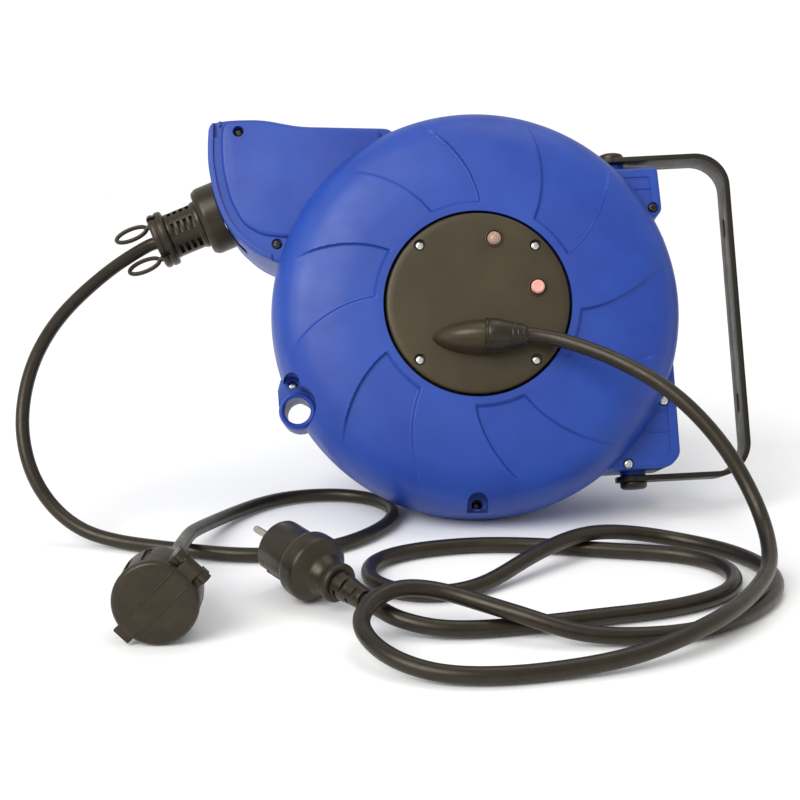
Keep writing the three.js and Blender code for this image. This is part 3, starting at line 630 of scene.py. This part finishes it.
def outlet_tool():
    """The bar-shaped slot across the wing's curved end where the cable comes out."""
    m = REEL @ Matrix.Translation((-190, OUTLET.y, 76)) @ Matrix.Rotation(-OUTLET_DOWN, 4, "Y")
    return cuboid("tool", (-15, -8.5, -28), (15, 8.5, 28), m, 2)


def lip_ends():
    """What keeps the lip and its channel to the wing's curved end."""
    return (cuboid("tool", (-152, SHELL_FRONT - 6, 20), (-50, SHELL_FRONT + 6, 160), REEL),
            cuboid("tool", (-191.5, SHELL_FRONT - 6, 105), (-100, SHELL_FRONT + 6, 160), REEL))


def drum_core():
    """The room inside the drum, which the wing and the block leave free."""
    profile = [(0, -61), (100, -60), (124, -55), (140, -46), (148, -34), (151.5, -14), (151.5, 5), (0, 5)]
    return lathe("tool", profile, REEL, 96)


def eye_recess():
    return rod_tool(EYE_RECESS_R, -70, RECESS_FLOOR, EYE_X, EYE_Z, 64)


def screw_holes(places):
    return [rod_tool(SCREW_HOLE_R, seat - 12, seat, x, z, 32) for x, z, seat in places]


def wing_front():
    line = smooth_outline(WING)
    near, middle = SHELL_FRONT - 5, SHELL_FRONT + 4
    wing = soft_slab("wing_front", line, SHELL_FRONT, -PARTING, REEL, 2.5)
    channel = cut(soft_slab("tool", inset(line, 4.4), SHELL_FRONT - 4, SHELL_FRONT + 2.6, REEL),
                  soft_slab("tool", inset(line, 8.0), near, middle, REEL), *lip_ends())
    lip = cut(soft_slab("lip", inset(line, 0.4), SHELL_FRONT - 1.8, SHELL_FRONT + 2, REEL, 1.2),
              soft_slab("tool", inset(line, 4.4), near, middle, REEL), *lip_ends())
    join(wing, lip)
    cut(wing, channel)
    join(wing, soft_slab("pad", smooth_outline(WING_PAD, 7), SHELL_FRONT - 3, SHELL_FRONT + 2.5, REEL, 3.0))
    cut(wing, soft_slab("tool", inset(line, SHELL_WALL), middle, 5, REEL), drum_core(),
        cuboid("tool", (-197, near, 134), (-193, SHELL_FRONT + 2.6, 156), REEL, 0.6))
    return cut(wing, outlet_tool(), *screw_holes(SHELL_SCREWS[:2]), eye_recess())


def block_front():
    block = soft_slab("block_front", smooth_outline(BLOCK_OUTLINE, 4), SHELL_FRONT, -PARTING, BLOCK, 2.2)
    panel = smooth_outline(inset(BLOCK_OUTLINE, 7), 3)
    cut(block, soft_slab("tool", panel, SHELL_FRONT - 2, SHELL_FRONT + 0.9, BLOCK))
    join(block, *[cuboid("rib", (96, SHELL_FRONT + 0.1, w - 0.5), (140, SHELL_FRONT + 2, w + 0.5), BLOCK, 0.3)
                  for w in (98, 88, -81, -96)])
    cut(block, soft_slab("tool", BLOCK_HOLLOW, SHELL_FRONT + 4, 5, BLOCK), drum_core())
    return cut(block, *screw_holes(SHELL_SCREWS[4:]))


def lug_front():
    """The wall round the hanging eye and the ear with its screw."""
    profile = [(EYE_R, -18), (EYE_R + 0.8, -19.2), (EYE_WALL - 2, -20), (EYE_WALL - 0.6, -19.4),
               (EYE_WALL, -18), (EYE_WALL, -PARTING), (EYE_R, -PARTING)]
    lug = lathe("lug_front", profile, offset(REEL, EYE_X, 0, EYE_Z), 72, True)
    outline = [(-146, -70), (-130, -66), (-127, -52), (-136, -46), (-145, -50), (-147, -58)]
    ear = soft_slab("lug_ear", outline, -19, -PARTING, REEL, 1.5)
    cut(ear, rod_tool(EYE_R, -30, 5, EYE_X, EYE_Z))
    return lug, cut(ear, rod_tool(SCREW_HOLE_R, -30, -15.6, *LUG_SCREW, 32))


def front_shell():
    drum = drum_front()
    cut(drum, eye_recess(), rod_tool(LUG_RECESS_R, -70, RECESS_FLOOR, *LUG_SCREW, 40),
        rod_tool(EYE_R, -30, 5, EYE_X, EYE_Z, 64), bottom_tool())
    for piece in (drum, wing_front(), block_front(), *lug_front(), *shell_pockets()):
        finish(piece, BLUE, "blue_shell", "housing", angle=28)
    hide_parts("front_shell")


def bottom_tool():
    """The round-topped pocket over the bottom screw, open downwards."""
    outline = arc(0, -143, 7.5, 0, 180, 20) + [(-7.5, -170), (7.5, -170)]
    return slab("tool", outline, -70, -33, REEL)


def shell_pockets():
    """The walls and floors seen inside the pockets round the hanging eye and the bottom screw."""
    eye = rod("eye_pocket", 17.5, -60, -17, offset(REEL, EYE_X, 0, EYE_Z), 72)
    screw = rod("lug_screw_pocket", 8.8, -50, -13.5, offset(REEL, LUG_SCREW[0], 0, LUG_SCREW[1]))
    bottom = cuboid("bottom_pocket", (-9.4, -55, -158), (9.4, -17, -133.6), REEL, 0.6)
    under_face = [(0, -62.4), (102, -61.4), (126, -57), (141.6, -47.6), (149.5, -34), (152.4, -14),
                  (152.4, 0), (0, 0)]
    for piece in (eye, screw, bottom):
        keep_inside(piece, lathe("tool", under_face, REEL, 128))
    floor = RECESS_FLOOR - 0.3
    cut(eye, rod_tool(EYE_RECESS_R, -70, floor, EYE_X, EYE_Z, 64), rod_tool(EYE_R, -70, 5, EYE_X, EYE_Z, 64),
        rod_tool(6.9, -70, floor, *LUG_SCREW, 40))
    cut(screw, rod_tool(LUG_RECESS_R, -70, floor, *LUG_SCREW, 40),
        rod_tool(SCREW_HOLE_R, -40, -15.6, *LUG_SCREW, 32), rod_tool(15.4, -70, -12, EYE_X, EYE_Z, 64))
    cut(bottom, bottom_tool(), rod_tool(SCREW_HOLE_R, -40, -17.6, 0, -144, 32))
    return eye, screw, bottom


# ---------------------------------------------------------------- the rear shell
def rear_radius(y):
    return DRUM_R - y * math.tan(LEAN)


def cone_tool():
    near, far = rear_radius(-1) - 1.5, rear_radius(70) - 1.5
    return lathe("tool", [(0, -1), (near, -1), (far, 70), (0, 70)], REEL, 96)


def drum_rear():
    back = REAR_DEPTH
    outer = [(DRUM_R, PARTING), (rear_radius(8), 8), (rear_radius(66), 66), (REAR_R, back), (112, back),
             (108, back - 2), (60, back - 2), (56, back), (36, back), (33, back + 4),
             (AXLE_R + 0.8, back + 4)]
    inner = [(AXLE_R + 0.8, back - 5), (105, back - 5), (rear_radius(72) - 3.2, 72), (DRUM_R - 3.2, PARTING)]
    drum = lathe("drum_rear", rounded(outer, 3.5, 5)[:-1] + outer[-1:] + inner, REEL, 288, True)
    low, high = (58, back - 3, -1.6), (110, back - 0.3, 1.6)
    return join(drum, *[cuboid("rib", low, high, turned(REEL, 30 * k + 15), 0.5) for k in range(12)])


def wing_rear():
    line = smooth_outline(WING)
    wing = soft_slab("wing_rear", line, PARTING, SHELL_REAR, REEL, 0, 3)
    hollow = soft_slab("tool", inset(line, SHELL_WALL), -5, SHELL_REAR - 4, REEL)
    cut(wing, hollow, cone_tool(), outlet_tool())
    panel = inset(smooth_outline(WING_PAD), 2)
    return cut(wing, soft_slab("tool", panel, SHELL_REAR - 1.2, SHELL_REAR + 2, REEL))


def block_rear():
    block = soft_slab("block_rear", smooth_outline(BLOCK_OUTLINE, 4), PARTING, SHELL_REAR, BLOCK, 0, 2.5)
    panel = smooth_outline(inset(BLOCK_OUTLINE, 8), 3)
    return cut(block, soft_slab("tool", BLOCK_HOLLOW, -5, SHELL_REAR - 4, BLOCK), cone_tool(),
               soft_slab("tool", panel, SHELL_REAR - 1, SHELL_REAR + 2, BLOCK))


def rear_shell():
    drum, wing, block = drum_rear(), wing_rear(), block_rear()
    eye = offset(REEL, EYE_X, 0, EYE_Z)
    lug = lathe("lug_rear", [(EYE_R, PARTING), (EYE_WALL, PARTING), (EYE_WALL, 18.5), (EYE_WALL - 1.5, 20),
                             (EYE_R + 1, 20), (EYE_R, 19)], eye, 72, True)
    profile = [(EYE_R, 19.5), (EYE_WALL - 1, 19.5), (EYE_WALL - 1, 74), (EYE_R, 74)]
    wall = lathe("lug_wall", profile, eye, 72, True)
    keep_inside(wall, cone_tool())
    cut(drum, rod_tool(EYE_R, -5, 90, EYE_X, EYE_Z, 64))
    pieces = [drum, wing, block, lug, wall]
    for name, w0, w1 in (("boss_top", 103.4, STRAP_TOP - STRAP - 0.3),
                         ("boss_bottom", STRAP_BOTTOM + STRAP + 0.3, -121.4)):
        boss = rounded([(4.4, w0), (9.7, w0), (9.7, w1), (4.4, w1)], 0.6, 3, True)
        pieces.append(lathe(name, boss, PIVOT_AXIS, 48, True))
    for piece in pieces:
        finish(piece, BLUE, "blue_shell", "housing", angle=28)
    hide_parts("rear_shell")


def screw(name, x, z, seat, tip, head_r, head_h, node, material):
    """A pan-head screw with a cross recess and a plain shank."""
    face = seat - head_h
    head = [(0, face), (head_r * 0.55, face), (head_r * 0.88, seat - head_h * 0.72), (head_r, seat - 0.35),
            (head_r, seat), (1.6, seat + 0.01), (1.6, tip - 1.5), (0, tip)]
    place = offset(REEL, x, 0, z)
    obj = lathe(name, head, place, 40)
    turn = turned(place, (x * 7 + z * 3) % 90)
    cut(obj, *[cuboid("tool", (-long, face - 1, -wide), (long, face + 1.1, wide), turn)
               for wide, long in ((0.42, 1.9), (1.9, 0.42))])
    finish(obj, material, "screw_steel", "housing", node, angle=30)


def screws():
    for i, (x, z, seat) in enumerate(SHELL_SCREWS):
        tip = 9 if -20 < seat else 24
        # Screws outside that list are drawn darker: painted shade from the deep holes they sit in
        screw("housing_screw_%d" % (i + 1), x, z, seat - 0.3, tip, 3.4, 2.2, "shell_screw_%d" % (i + 1),
              ZINC if i in SCREWS_LEFT_UNSHADED else RECESS_SHADED_STEEL)
    for i, (x, z) in enumerate(COVER_SCREWS):
        screw("plate_screw_%d" % (i + 1), x, z, COVER_FRONT + 3.1, -56, 3.1, 1.8, "cover_screw_%d" % (i + 1),
              ZINC)


# ---------------------------------------------------------------- slip ring cover and its fittings
def cover_nose():
    """The pointed swelling that the lead's boot comes out of."""
    height = COVER_FRONT - (GLAND.y - GLAND_R)
    steps, around = 36, 72
    turns = [math.pi * j / (around - 1) for j in range(around)]
    rings = []
    for k in range(steps + 1):
        t = math.pi / 2 * k / steps
        s = max(math.sin(t), 1e-3) ** 1.2
        rings.append([(GLAND.x - 37 * math.cos(t),
                       COVER_FRONT + 1.2 - (height + 0.7) * s * max(math.sin(a), 0) ** 0.86,
                       GLAND.z + (GLAND_R + 1.2) * s * math.cos(a)) for a in turns])
    verts, faces = grid(rings)
    faces.append(tuple(range(len(verts) - around, len(verts))))
    faces.append(tuple(range(around))[::-1])
    return solid("cover_nose", verts, faces, REEL)


def slip_ring_cover():
    front = COVER_FRONT
    profile = [(0, front), (61, front), (COVER_R - 1.6, front + 0.25), (COVER_R - 0.3, front + 1.1),
               (COVER_R, front + 2.2), (COVER_R, front + 4.2), (0, front + 4.2)]
    disc = lathe("cover", rounded(profile, 1.0, 3)[:-1] + [profile[-1]], REEL, 240)
    nose = cover_nose()
    for x, z in COVER_SCREWS:
        cut(disc, rod_tool(4.3, -80, front + 3.2, x, z, 40))
    cut(disc, rod_tool(5.7, -80, -50, RESET_X, RESET_Z), rod_tool(5.6, -80, -50, LENS_X, LENS_Z))
    finish(disc, COVER_BLACK, "black_cover", "housing", "slip_ring_cover", angle=30)
    finish(nose, COVER_BLACK, "black_cover", "housing", angle=40)
    for name, x, z, r in (("reset_bezel", RESET_X, RESET_Z, 5.7), ("lens_bezel", LENS_X, LENS_Z, 5.6)):
        ring = [(r, front + 3), (r, front - 0.2), (r + 0.5, front - 0.6), (r + 1.2, front - 0.5),
                (r + 1.6, front), (r + 1.6, front + 3)]
        finish(lathe(name, ring, offset(REEL, x, 0, z), 64, True), COVER_BLACK, "black_cover", "housing")


def cover_fittings():
    window, switch = offset(REEL, LENS_X, 0, LENS_Z), offset(REEL, RESET_X, 0, RESET_Z)
    lens = [(0, -68.4), (1.6, -68.2), (3.2, -67.5), (4.5, -66.3), (5.1, -65.0), (5.1, -61), (0, -61)]
    finish(lathe("neon_lens", smooth_profile(lens), window, 64), LENS_AMBER, "indicator_lens", "housing",
           "indicator_lens", angle=50)
    lamp = [(0, -65.6), (1.2, -65.3), (1.8, -64.3), (1.8, -61.6), (0, -61.6)]
    finish(lathe("neon_lamp", lamp, window, 32), BUTTON_PINK, "indicator_lens", "housing")
    button = [(0, -68.9), (2.6, -69.0), (3.6, -69.2), (4.5, -68.7), (4.95, -67.6), (5, -66), (5, -52),
              (0, -52)]
    finish(lathe("breaker_button", smooth_profile(button), switch, 64), BUTTON_PINK, "reset_button",
           "reset_button", "reset_button", angle=50)
    exit_axis = turned(offset(REEL, *GLAND), -90, "Z")
    outline = [(5.6, 0.4), (10.6, 0.4), (11.6, 1.2), (12.1, 3.5), (12.2, 6.5), (11.9, 9.5), (11.2, 12.5),
               (10.4, 15.5), (9.6, 18.2), (9.2, 18.4), (9.2, 19.2), (9.4, 19.5), (8.9, 22), (8.5, 22.2),
               (8.5, 23), (8.7, 23.3), (8.0, 26), (7.5, 26.2), (7.5, 27), (7.6, 27.3), (6.9, 29.4),
               (6.2, 30), (5.6, 30)]
    boot = lathe("lead_boot_moulding", outline, exit_axis, 96, True)
    finish(boot, LEAD_BLACK, "boot_rubber", "housing", "lead_boot", angle=40)
    ring = [(11.4, -0.1), (12.3, 0.3), (12.4, 1.6), (11.8, 2.4), (10.5, 2.4), (10.5, -0.1)]
    finish(lathe("lead_boot_bead", ring, exit_axis, 96, True), LEAD_BLACK, "boot_rubber", "housing")
    return boot


def smooth_profile(profile):
    """Eases the rounded front of a profile that starts on the axis; its last two points stay sharp."""
    body, tail = profile[:-2], profile[-2:]
    line = [(max(0, x), y) for x, y in (p[:2] for p in smooth_line([(a, b, 0) for a, b in body], 4))]
    return [(0, profile[0][1])] + [p for p in line if p[0] > 0.05] + tail


# ---------------------------------------------------------------- cable stop
def cable_stop():
    bore = CABLE_D / 2 + 0.15
    buffer = rounded([(bore, -7), (26.5, -7), (26.5, 9.5), (24, 14), (bore, 14)], 1.8, 4, True)
    flange = lathe("stop_flange", buffer, STOP, 128, True)
    cut(flange, soft_slab("tool", inset(smooth_outline(WING), -0.6), SHELL_FRONT - 9, SHELL_REAR + 9, REEL))
    finish(flange, STOP_BLACK, "stop_rubber", "housing", "stop_buffer")
    grip = [(bore, 14.3), (18.6, 14.3), (18.2, 17), (17.2, 18.2), (17.2, 37), (17.4, 38.2), (17.4, 40),
            (bore, 40)]
    body = lathe("stop_grip", rounded(grip, 0.6, 3, True), STOP, 96, True)
    tools = []
    for y in (18.6, 23.6, 28.6, 33.6):
        tools += [cuboid("tool", (12, y, -4.8), (20, y + 2.9, 4.8), turned(STOP, 60 * k + 30), 0.3)
                  for k in range(6)]
    cut(body, *tools)
    finish(body, STOP_BLACK, "stop_rubber", "housing", "stop_body")
    neck = [(bore, 40.3), (20.4, 40.3), (21.5, 41.6), (21.6, 45.2), (20.6, 46), (20.6, 47), (21.4, 47.8),
            (21.2, 50.6), (19.8, 52), (bore, 52)]
    collar = lathe("stop_collar_moulding", rounded(neck, 0.7, 3, True), STOP, 96, True)
    cut(collar, *[cuboid("tool", (16.8, 44.6, -2.4), (24, 53, 2.4), turned(STOP, 45 + 90 * k), 0.4)
                  for k in range(4)])
    finish(collar, STOP_BLACK, "stop_rubber", "housing", "stop_collar")
    for i, side in enumerate((1, -1)):
        stop_loop(i + 1, side * 13.4)


def stop_loop(number, x):
    """One flat oval loop on the cable stop, and the stem that it stands on."""
    wide, tall, steps = 4.2, 12.2, 72
    rings = []
    for k in range(steps):
        t = 2 * math.pi * k / steps
        centre = Vector((wide * math.cos(t), tall * math.sin(t), 0))
        tangent = Vector((-wide * math.sin(t), tall * math.cos(t), 0)).normalized()
        normal = Vector((tangent.y, -tangent.x, 0))
        rings.append([centre + normal * 1.6 * math.cos(a) + Vector((0, 0, 2.0)) * math.sin(a)
                      for a in (2 * math.pi * j / 20 for j in range(20))])
    loop = solid("stop_eye_%d" % number, *grid(rings, True), offset(STOP, x, 67.2))
    finish(loop, CAP_BLACK, "stop_rubber", "housing", "stop_loop_%d" % number, angle=60)
    profile = [(0, 50.5), (2.1, 51), (2.1, 54.5), (1.5, 56.2), (0, 56.6)]
    stem = lathe("stop_eye_stem_%d" % number, profile, offset(STOP, x), 32)
    finish(stem, CAP_BLACK, "stop_rubber", "housing")


# ---------------------------------------------------------------- wall bracket
def wall_bracket():
    bend, steps = 26, 20
    cu = LEG_U - bend
    top, bottom = STRAP_TOP, STRAP_BOTTOM
    outside = ([(PIVOT_U - 13, bottom)] + arc(cu, bottom + bend, bend, -90, 0, steps)
               + arc(cu, top - bend, bend, 0, 90, steps) + [(PIVOT_U - 13, top)])
    inside = ([(PIVOT_U - 13, top - STRAP)] + arc(cu, top - bend, bend - STRAP, 90, 0, steps)
              + arc(cu, bottom + bend, bend - STRAP, 0, -90, steps) + [(PIVOT_U - 13, bottom + STRAP)])
    half = STRAP_WIDTH / 2
    strap = slab("strap", outside + inside, PIVOT_Y - half, PIVOT_Y + half, BLOCK)
    for low, high in ((top - STRAP - 3, top + 3), (bottom - 3, bottom + STRAP + 3)):
        ends = cuboid("tool", (-30, low, -30), (0, high, 30), PIVOT_AXIS)
        cut(ends, rod("tool", half, low - 1, high + 1, PIVOT_AXIS, 64))
        cut(strap, ends)
    holes = [rod("tool", 4.5, bottom - 6, top + 6, PIVOT_AXIS)]
    slot_r, slot_reach = 3.3, 3.96
    slot = arc(0, slot_reach, slot_r, 0, 180, 14) + arc(0, -slot_reach, slot_r, 180, 360, 14)
    for w in (62, -74):
        holes.append(slab("tool", slot, -10, 10, turned(offset(BLOCK, LEG_U - 2, PIVOT_Y, w), -90, "Z")))
    cut(strap, *holes)
    bevel(strap, 0.5, 3, 40)
    finish(strap, BRACKET_BLACK, "bracket_paint", "bracket", "wall_bracket", angle=30)
    for i, (sign, face, tip) in enumerate(((1, top, 104.5), (-1, bottom, -122.5))):
        cap = [(10, 0.3), (10.2, 1.2), (10, 3.4), (9.2, 4.8), (7.6, 5.5), (4.2, 5.6), (3.6, 4.9), (0, 4.9)]
        profile = [(0, tip), (3.9, tip), (3.9, face + sign * 0.3)] + [(r, face + sign * y) for r, y in cap]
        piece = lathe("pivot_cap_%d" % (i + 1), profile, PIVOT_AXIS, 64)
        finish(piece, CAP_BLACK, "pivot_cap", "housing", "pivot_bolt_%d" % (i + 1))


# ---------------------------------------------------------------- plug
def plug():
    bore = LEAD_D / 2 + 0.1
    sleeve = [(bore, 0), (6.8, 0), (7.6, 12), (9.4, 24), (bore, 24)]
    relief = lathe("plug_sleeve", rounded(sleeve, 0.6, 3, True), PLUG, 72, True)
    tools = []
    for k in range(4):
        y = 4 + k * 5
        tools += [cuboid("tool", (5.9, y, -6.5), (12, y + 2.4, 6.5), turned(PLUG, degrees), 0.2)
                  for degrees in (90 * (k % 2), 180 + 90 * (k % 2))]
    cut(relief, *tools)
    finish(relief, CONNECTOR_BLACK, "boot_rubber", "housing", "plug_strain_relief")
    profile = [(0, 24.3), (11.8, 24.3), (13, 26), (12.6, 29.5), (11, 31.5), (11.2, 34), (13.6, 40),
               (18.6, 44), (21.5, 47), (22, 49), (22, 57.5), (21, 60.4), (18.4, 61.4), (18.2, 63), (18.4, 86),
               (17.4, 87.5), (0, 87.5)]
    body = lathe("plug_moulding", rounded(profile, 1.3, 4), PLUG, 144)
    tools = []
    for side in (1, -1):
        low, high = sorted((15.2 * side, 25 * side))
        tools.append(rod("tool", 2.6, 80, 90, offset(PLUG, side * PIN_SPREAD), 32))
        tools.append(cuboid("tool", (-4, 64, low), (4, 92, high), PLUG, 0.4))
    for degrees in range(15, 360, 30):
        if abs(math.sin(math.radians(degrees))) < 0.9:
            tools.append(cuboid("tool", (17.6, 64.5, -5.0), (24, 90, 5.0), turned(PLUG, degrees)))
    cut(body, *tools)
    finish(body, CONNECTOR_BLACK, "connector_rubber", "housing", "plug_body")
    made = [relief, body]
    for i, side in enumerate((1, -1)):
        shaft = [(0, 80.4), (2.3, 80.4), (2.4, 82), (2.4, 103.6), (2.0, 105.4), (1.2, 106.3), (0, 106.5)]
        pin = lathe("contact_pin_%d" % (i + 1), shaft, offset(PLUG, side * PIN_SPREAD), 48)
        finish(pin, NICKEL, "plated_pin", "housing", "plug_pin_%d" % (i + 1), angle=50)
        line = [(63.8, 15.6), (63.8, 16.5), (70, 17.2), (80, 17.4), (85, 16.2), (85, 15.6)]
        verts = [(x, y, z * side) for x in (-2.6, 2.6) for y, z in line]
        faces = [tuple(range(6)), tuple(range(11, 5, -1))]
        faces += [(k, k + 6, (k + 1) % 6 + 6, (k + 1) % 6) for k in range(6)]
        clip = solid("earth_strip_%d" % (i + 1), verts, faces, PLUG)
        bevel(clip, 0.25, 2)
        finish(clip, BRASS, "brass", "housing", "earth_clip_%d" % (i + 1))
        made += [pin, clip]
    return made


# ---------------------------------------------------------------- socket with its spring lid
def coupler():
    bore, length = CABLE_D / 2 + 0.15, COUPLER_LENGTH
    hinge_x, hinge_y, hinge_r = 31, length + 0.5, 3.6
    across = turned(offset(SOCKET, hinge_x, hinge_y), 90, "X")

    def knuckle(name, z0, z1, radius):
        return rod(name, radius, z0, z1, across)

    profile = [(bore, 0), (7.5, 0), (10, 20), (15, 23.5), (16.5, 30), (19, 48), (COUPLER_R, 54),
               (COUPLER_R, length),
               (20, length), (20, 58), (bore, 58)]
    body = lathe("socket_moulding", rounded(profile, 1.2, 4, True), SOCKET, 144, True)
    for z0, z1 in ((-12, -6.3), (6.3, 12)):
        join(body, cuboid("arm", (20, length - 14, z0), (hinge_x, length - 0.2, z1), SOCKET, 0.5),
             knuckle("knuckle", z0, z1, hinge_r))
    cut(body, cuboid("tool", (26.2, length - 14.2, -6), (36, length + 6, 6), SOCKET),
        knuckle("tool", -20, 20, 1.7),
        *[cuboid("tool", (23.9, 56, -2.4), (28, length - 3, 2.4), turned(SOCKET, 30 * k), 0.3)
          for k in range(2, 11)])
    finish(body, CONNECTOR_BLACK, "connector_rubber", "housing", "socket_body")
    insert = lathe("socket_face", rounded([(0, 58.3), (19.6, 58.3), (19.6, 62), (0, 62)], 0.5, 3), SOCKET, 96)
    cut(insert, *[rod("tool", 2.6, 50, 70, offset(SOCKET, 0, 0, z), 32) for z in (PIN_SPREAD, -PIN_SPREAD)])
    finish(insert, INNER_BLACK, "connector_rubber", "housing", "socket_insert")
    edge = [(0, length + 0.5), (COUPLER_R + 0.4, length + 0.5), (COUPLER_R + 0.7, length + 1.2),
            (COUPLER_R + 0.5, length + 3), (COUPLER_R - 1, length + 4.6), (COUPLER_R - 4, length + 5.1),
            (0, length + 5.0)]
    lid = lathe("lid_moulding", rounded(edge, 0.8, 4), SOCKET, 144)
    saddle = cuboid("arm", (20, length + 0.5, -5.7), (hinge_x, length + 3.8, 5.7), SOCKET, 0.5)
    tab = cuboid("arm", (-30, length + 0.5, -6), (-22, length + 3.4, 6), SOCKET, 0.9)
    ribs = [cuboid("rib", (-23.6, length + 3.6, z - 0.6), (22.5, length + 5.75, z + 0.6), SOCKET, 0.35)
            for z in (-6.2, 6.2)]
    join(lid, saddle, knuckle("knuckle", -5.7, 5.7, hinge_r), tab, *ribs)
    cut(lid, knuckle("tool", -20, 20, 1.7))
    finish(lid, CONNECTOR_BLACK, "connector_rubber", "lid", "socket_lid")
    pin = knuckle("hinge_pin", -11.9, 11.9, 1.4)
    bevel(pin, 0.25, 2)
    finish(pin, STEEL, "zinc_steel", "housing", "lid_hinge_pin")
    return [body, insert, lid, pin]


# ---------------------------------------------------------------- carried-over nodes keep their CAD shape
def dress_cad_nodes():
    slots = {part["node"]: part["material_slot"] for part in frame["record"]["subparts"]}
    for node, obj in frame["nodes"].items():
        material = SLOT_MATERIALS[slots[node]]
        if obj.material_slots:
            for holder in obj.material_slots:
                holder.link = "OBJECT"
                holder.material = material


# ---------------------------------------------------------------- light and floor
def studio():
    corners = [(-4000, -3000, 0), (4000, -3000, 0), (4000, 3000, 0), (-4000, 3000, 0)]
    floor = make("floor", corners, [(0, 1, 2, 3)])
    floor.location.z = -0.0004
    m = Nodes("pale_floor", Specular_IOR_Level=0.25)
    m.color(m.ramp(m.noise(1.5, 2), rgb(246, 246, 245), rgb(250, 250, 249)))
    m.roughness(m.range(m.noise(30, 3), 0.6, 0.7))
    floor.data.materials.append(m.material)
    world = bpy.data.worlds.new("studio")
    bpy.context.scene.world = world
    world.use_nodes = True
    tree = world.node_tree
    background = tree.nodes["Background"]
    background.inputs["Color"].default_value = (1, 1, 1, 1)
    strength = tree.nodes.new("ShaderNodeMapRange")
    strength.inputs["To Min"].default_value = LIT
    strength.inputs["To Max"].default_value = BACKDROP
    tree.links.new(tree.nodes.new("ShaderNodeLightPath").outputs["Is Camera Ray"], strength.inputs["Value"])
    tree.links.new(strength.outputs["Result"], background.inputs["Strength"])
    lights = (("key", "SUN", (-0.75, -1.0, 1.15), 40, 1.9), ("window", "AREA", (-0.9, -1.0, 0.7), 0.6, 3),
              ("top", "AREA", (0.3, 0.1, 1.5), 0.8, 3))
    for name, kind, place, size, power in lights:
        data = bpy.data.lights.new(name, kind)
        if kind == "SUN":
            data.angle = math.radians(size)
        else:
            data.size = size
        data.energy = power
        light = bpy.data.objects.new(name, data)
        bpy.context.scene.collection.objects.link(light)
        light.location = place
        light.rotation_euler = (Vector((0, 0, 0.12)) - Vector(place)).to_track_quat("-Z", "Y").to_euler()
    bpy.context.scene.view_settings.view_transform = "Standard"
    bpy.context.scene.view_settings.look = "None"


dress_cad_nodes()
boot_piece = cover_fittings()
plug_pieces = plug()
coupler_pieces = coupler()
cord("mains_lead", LEAD_ROUTE, LEAD_D, LEAD_BLACK, "input_cord")
cord("pull_out_cable", CABLE_ROUTE, CABLE_D, CABLE_BLACK, "output_cord")
slip_ring_cover()
front_shell()
rear_shell()
screws()
cable_stop()
wall_bracket()
studio()
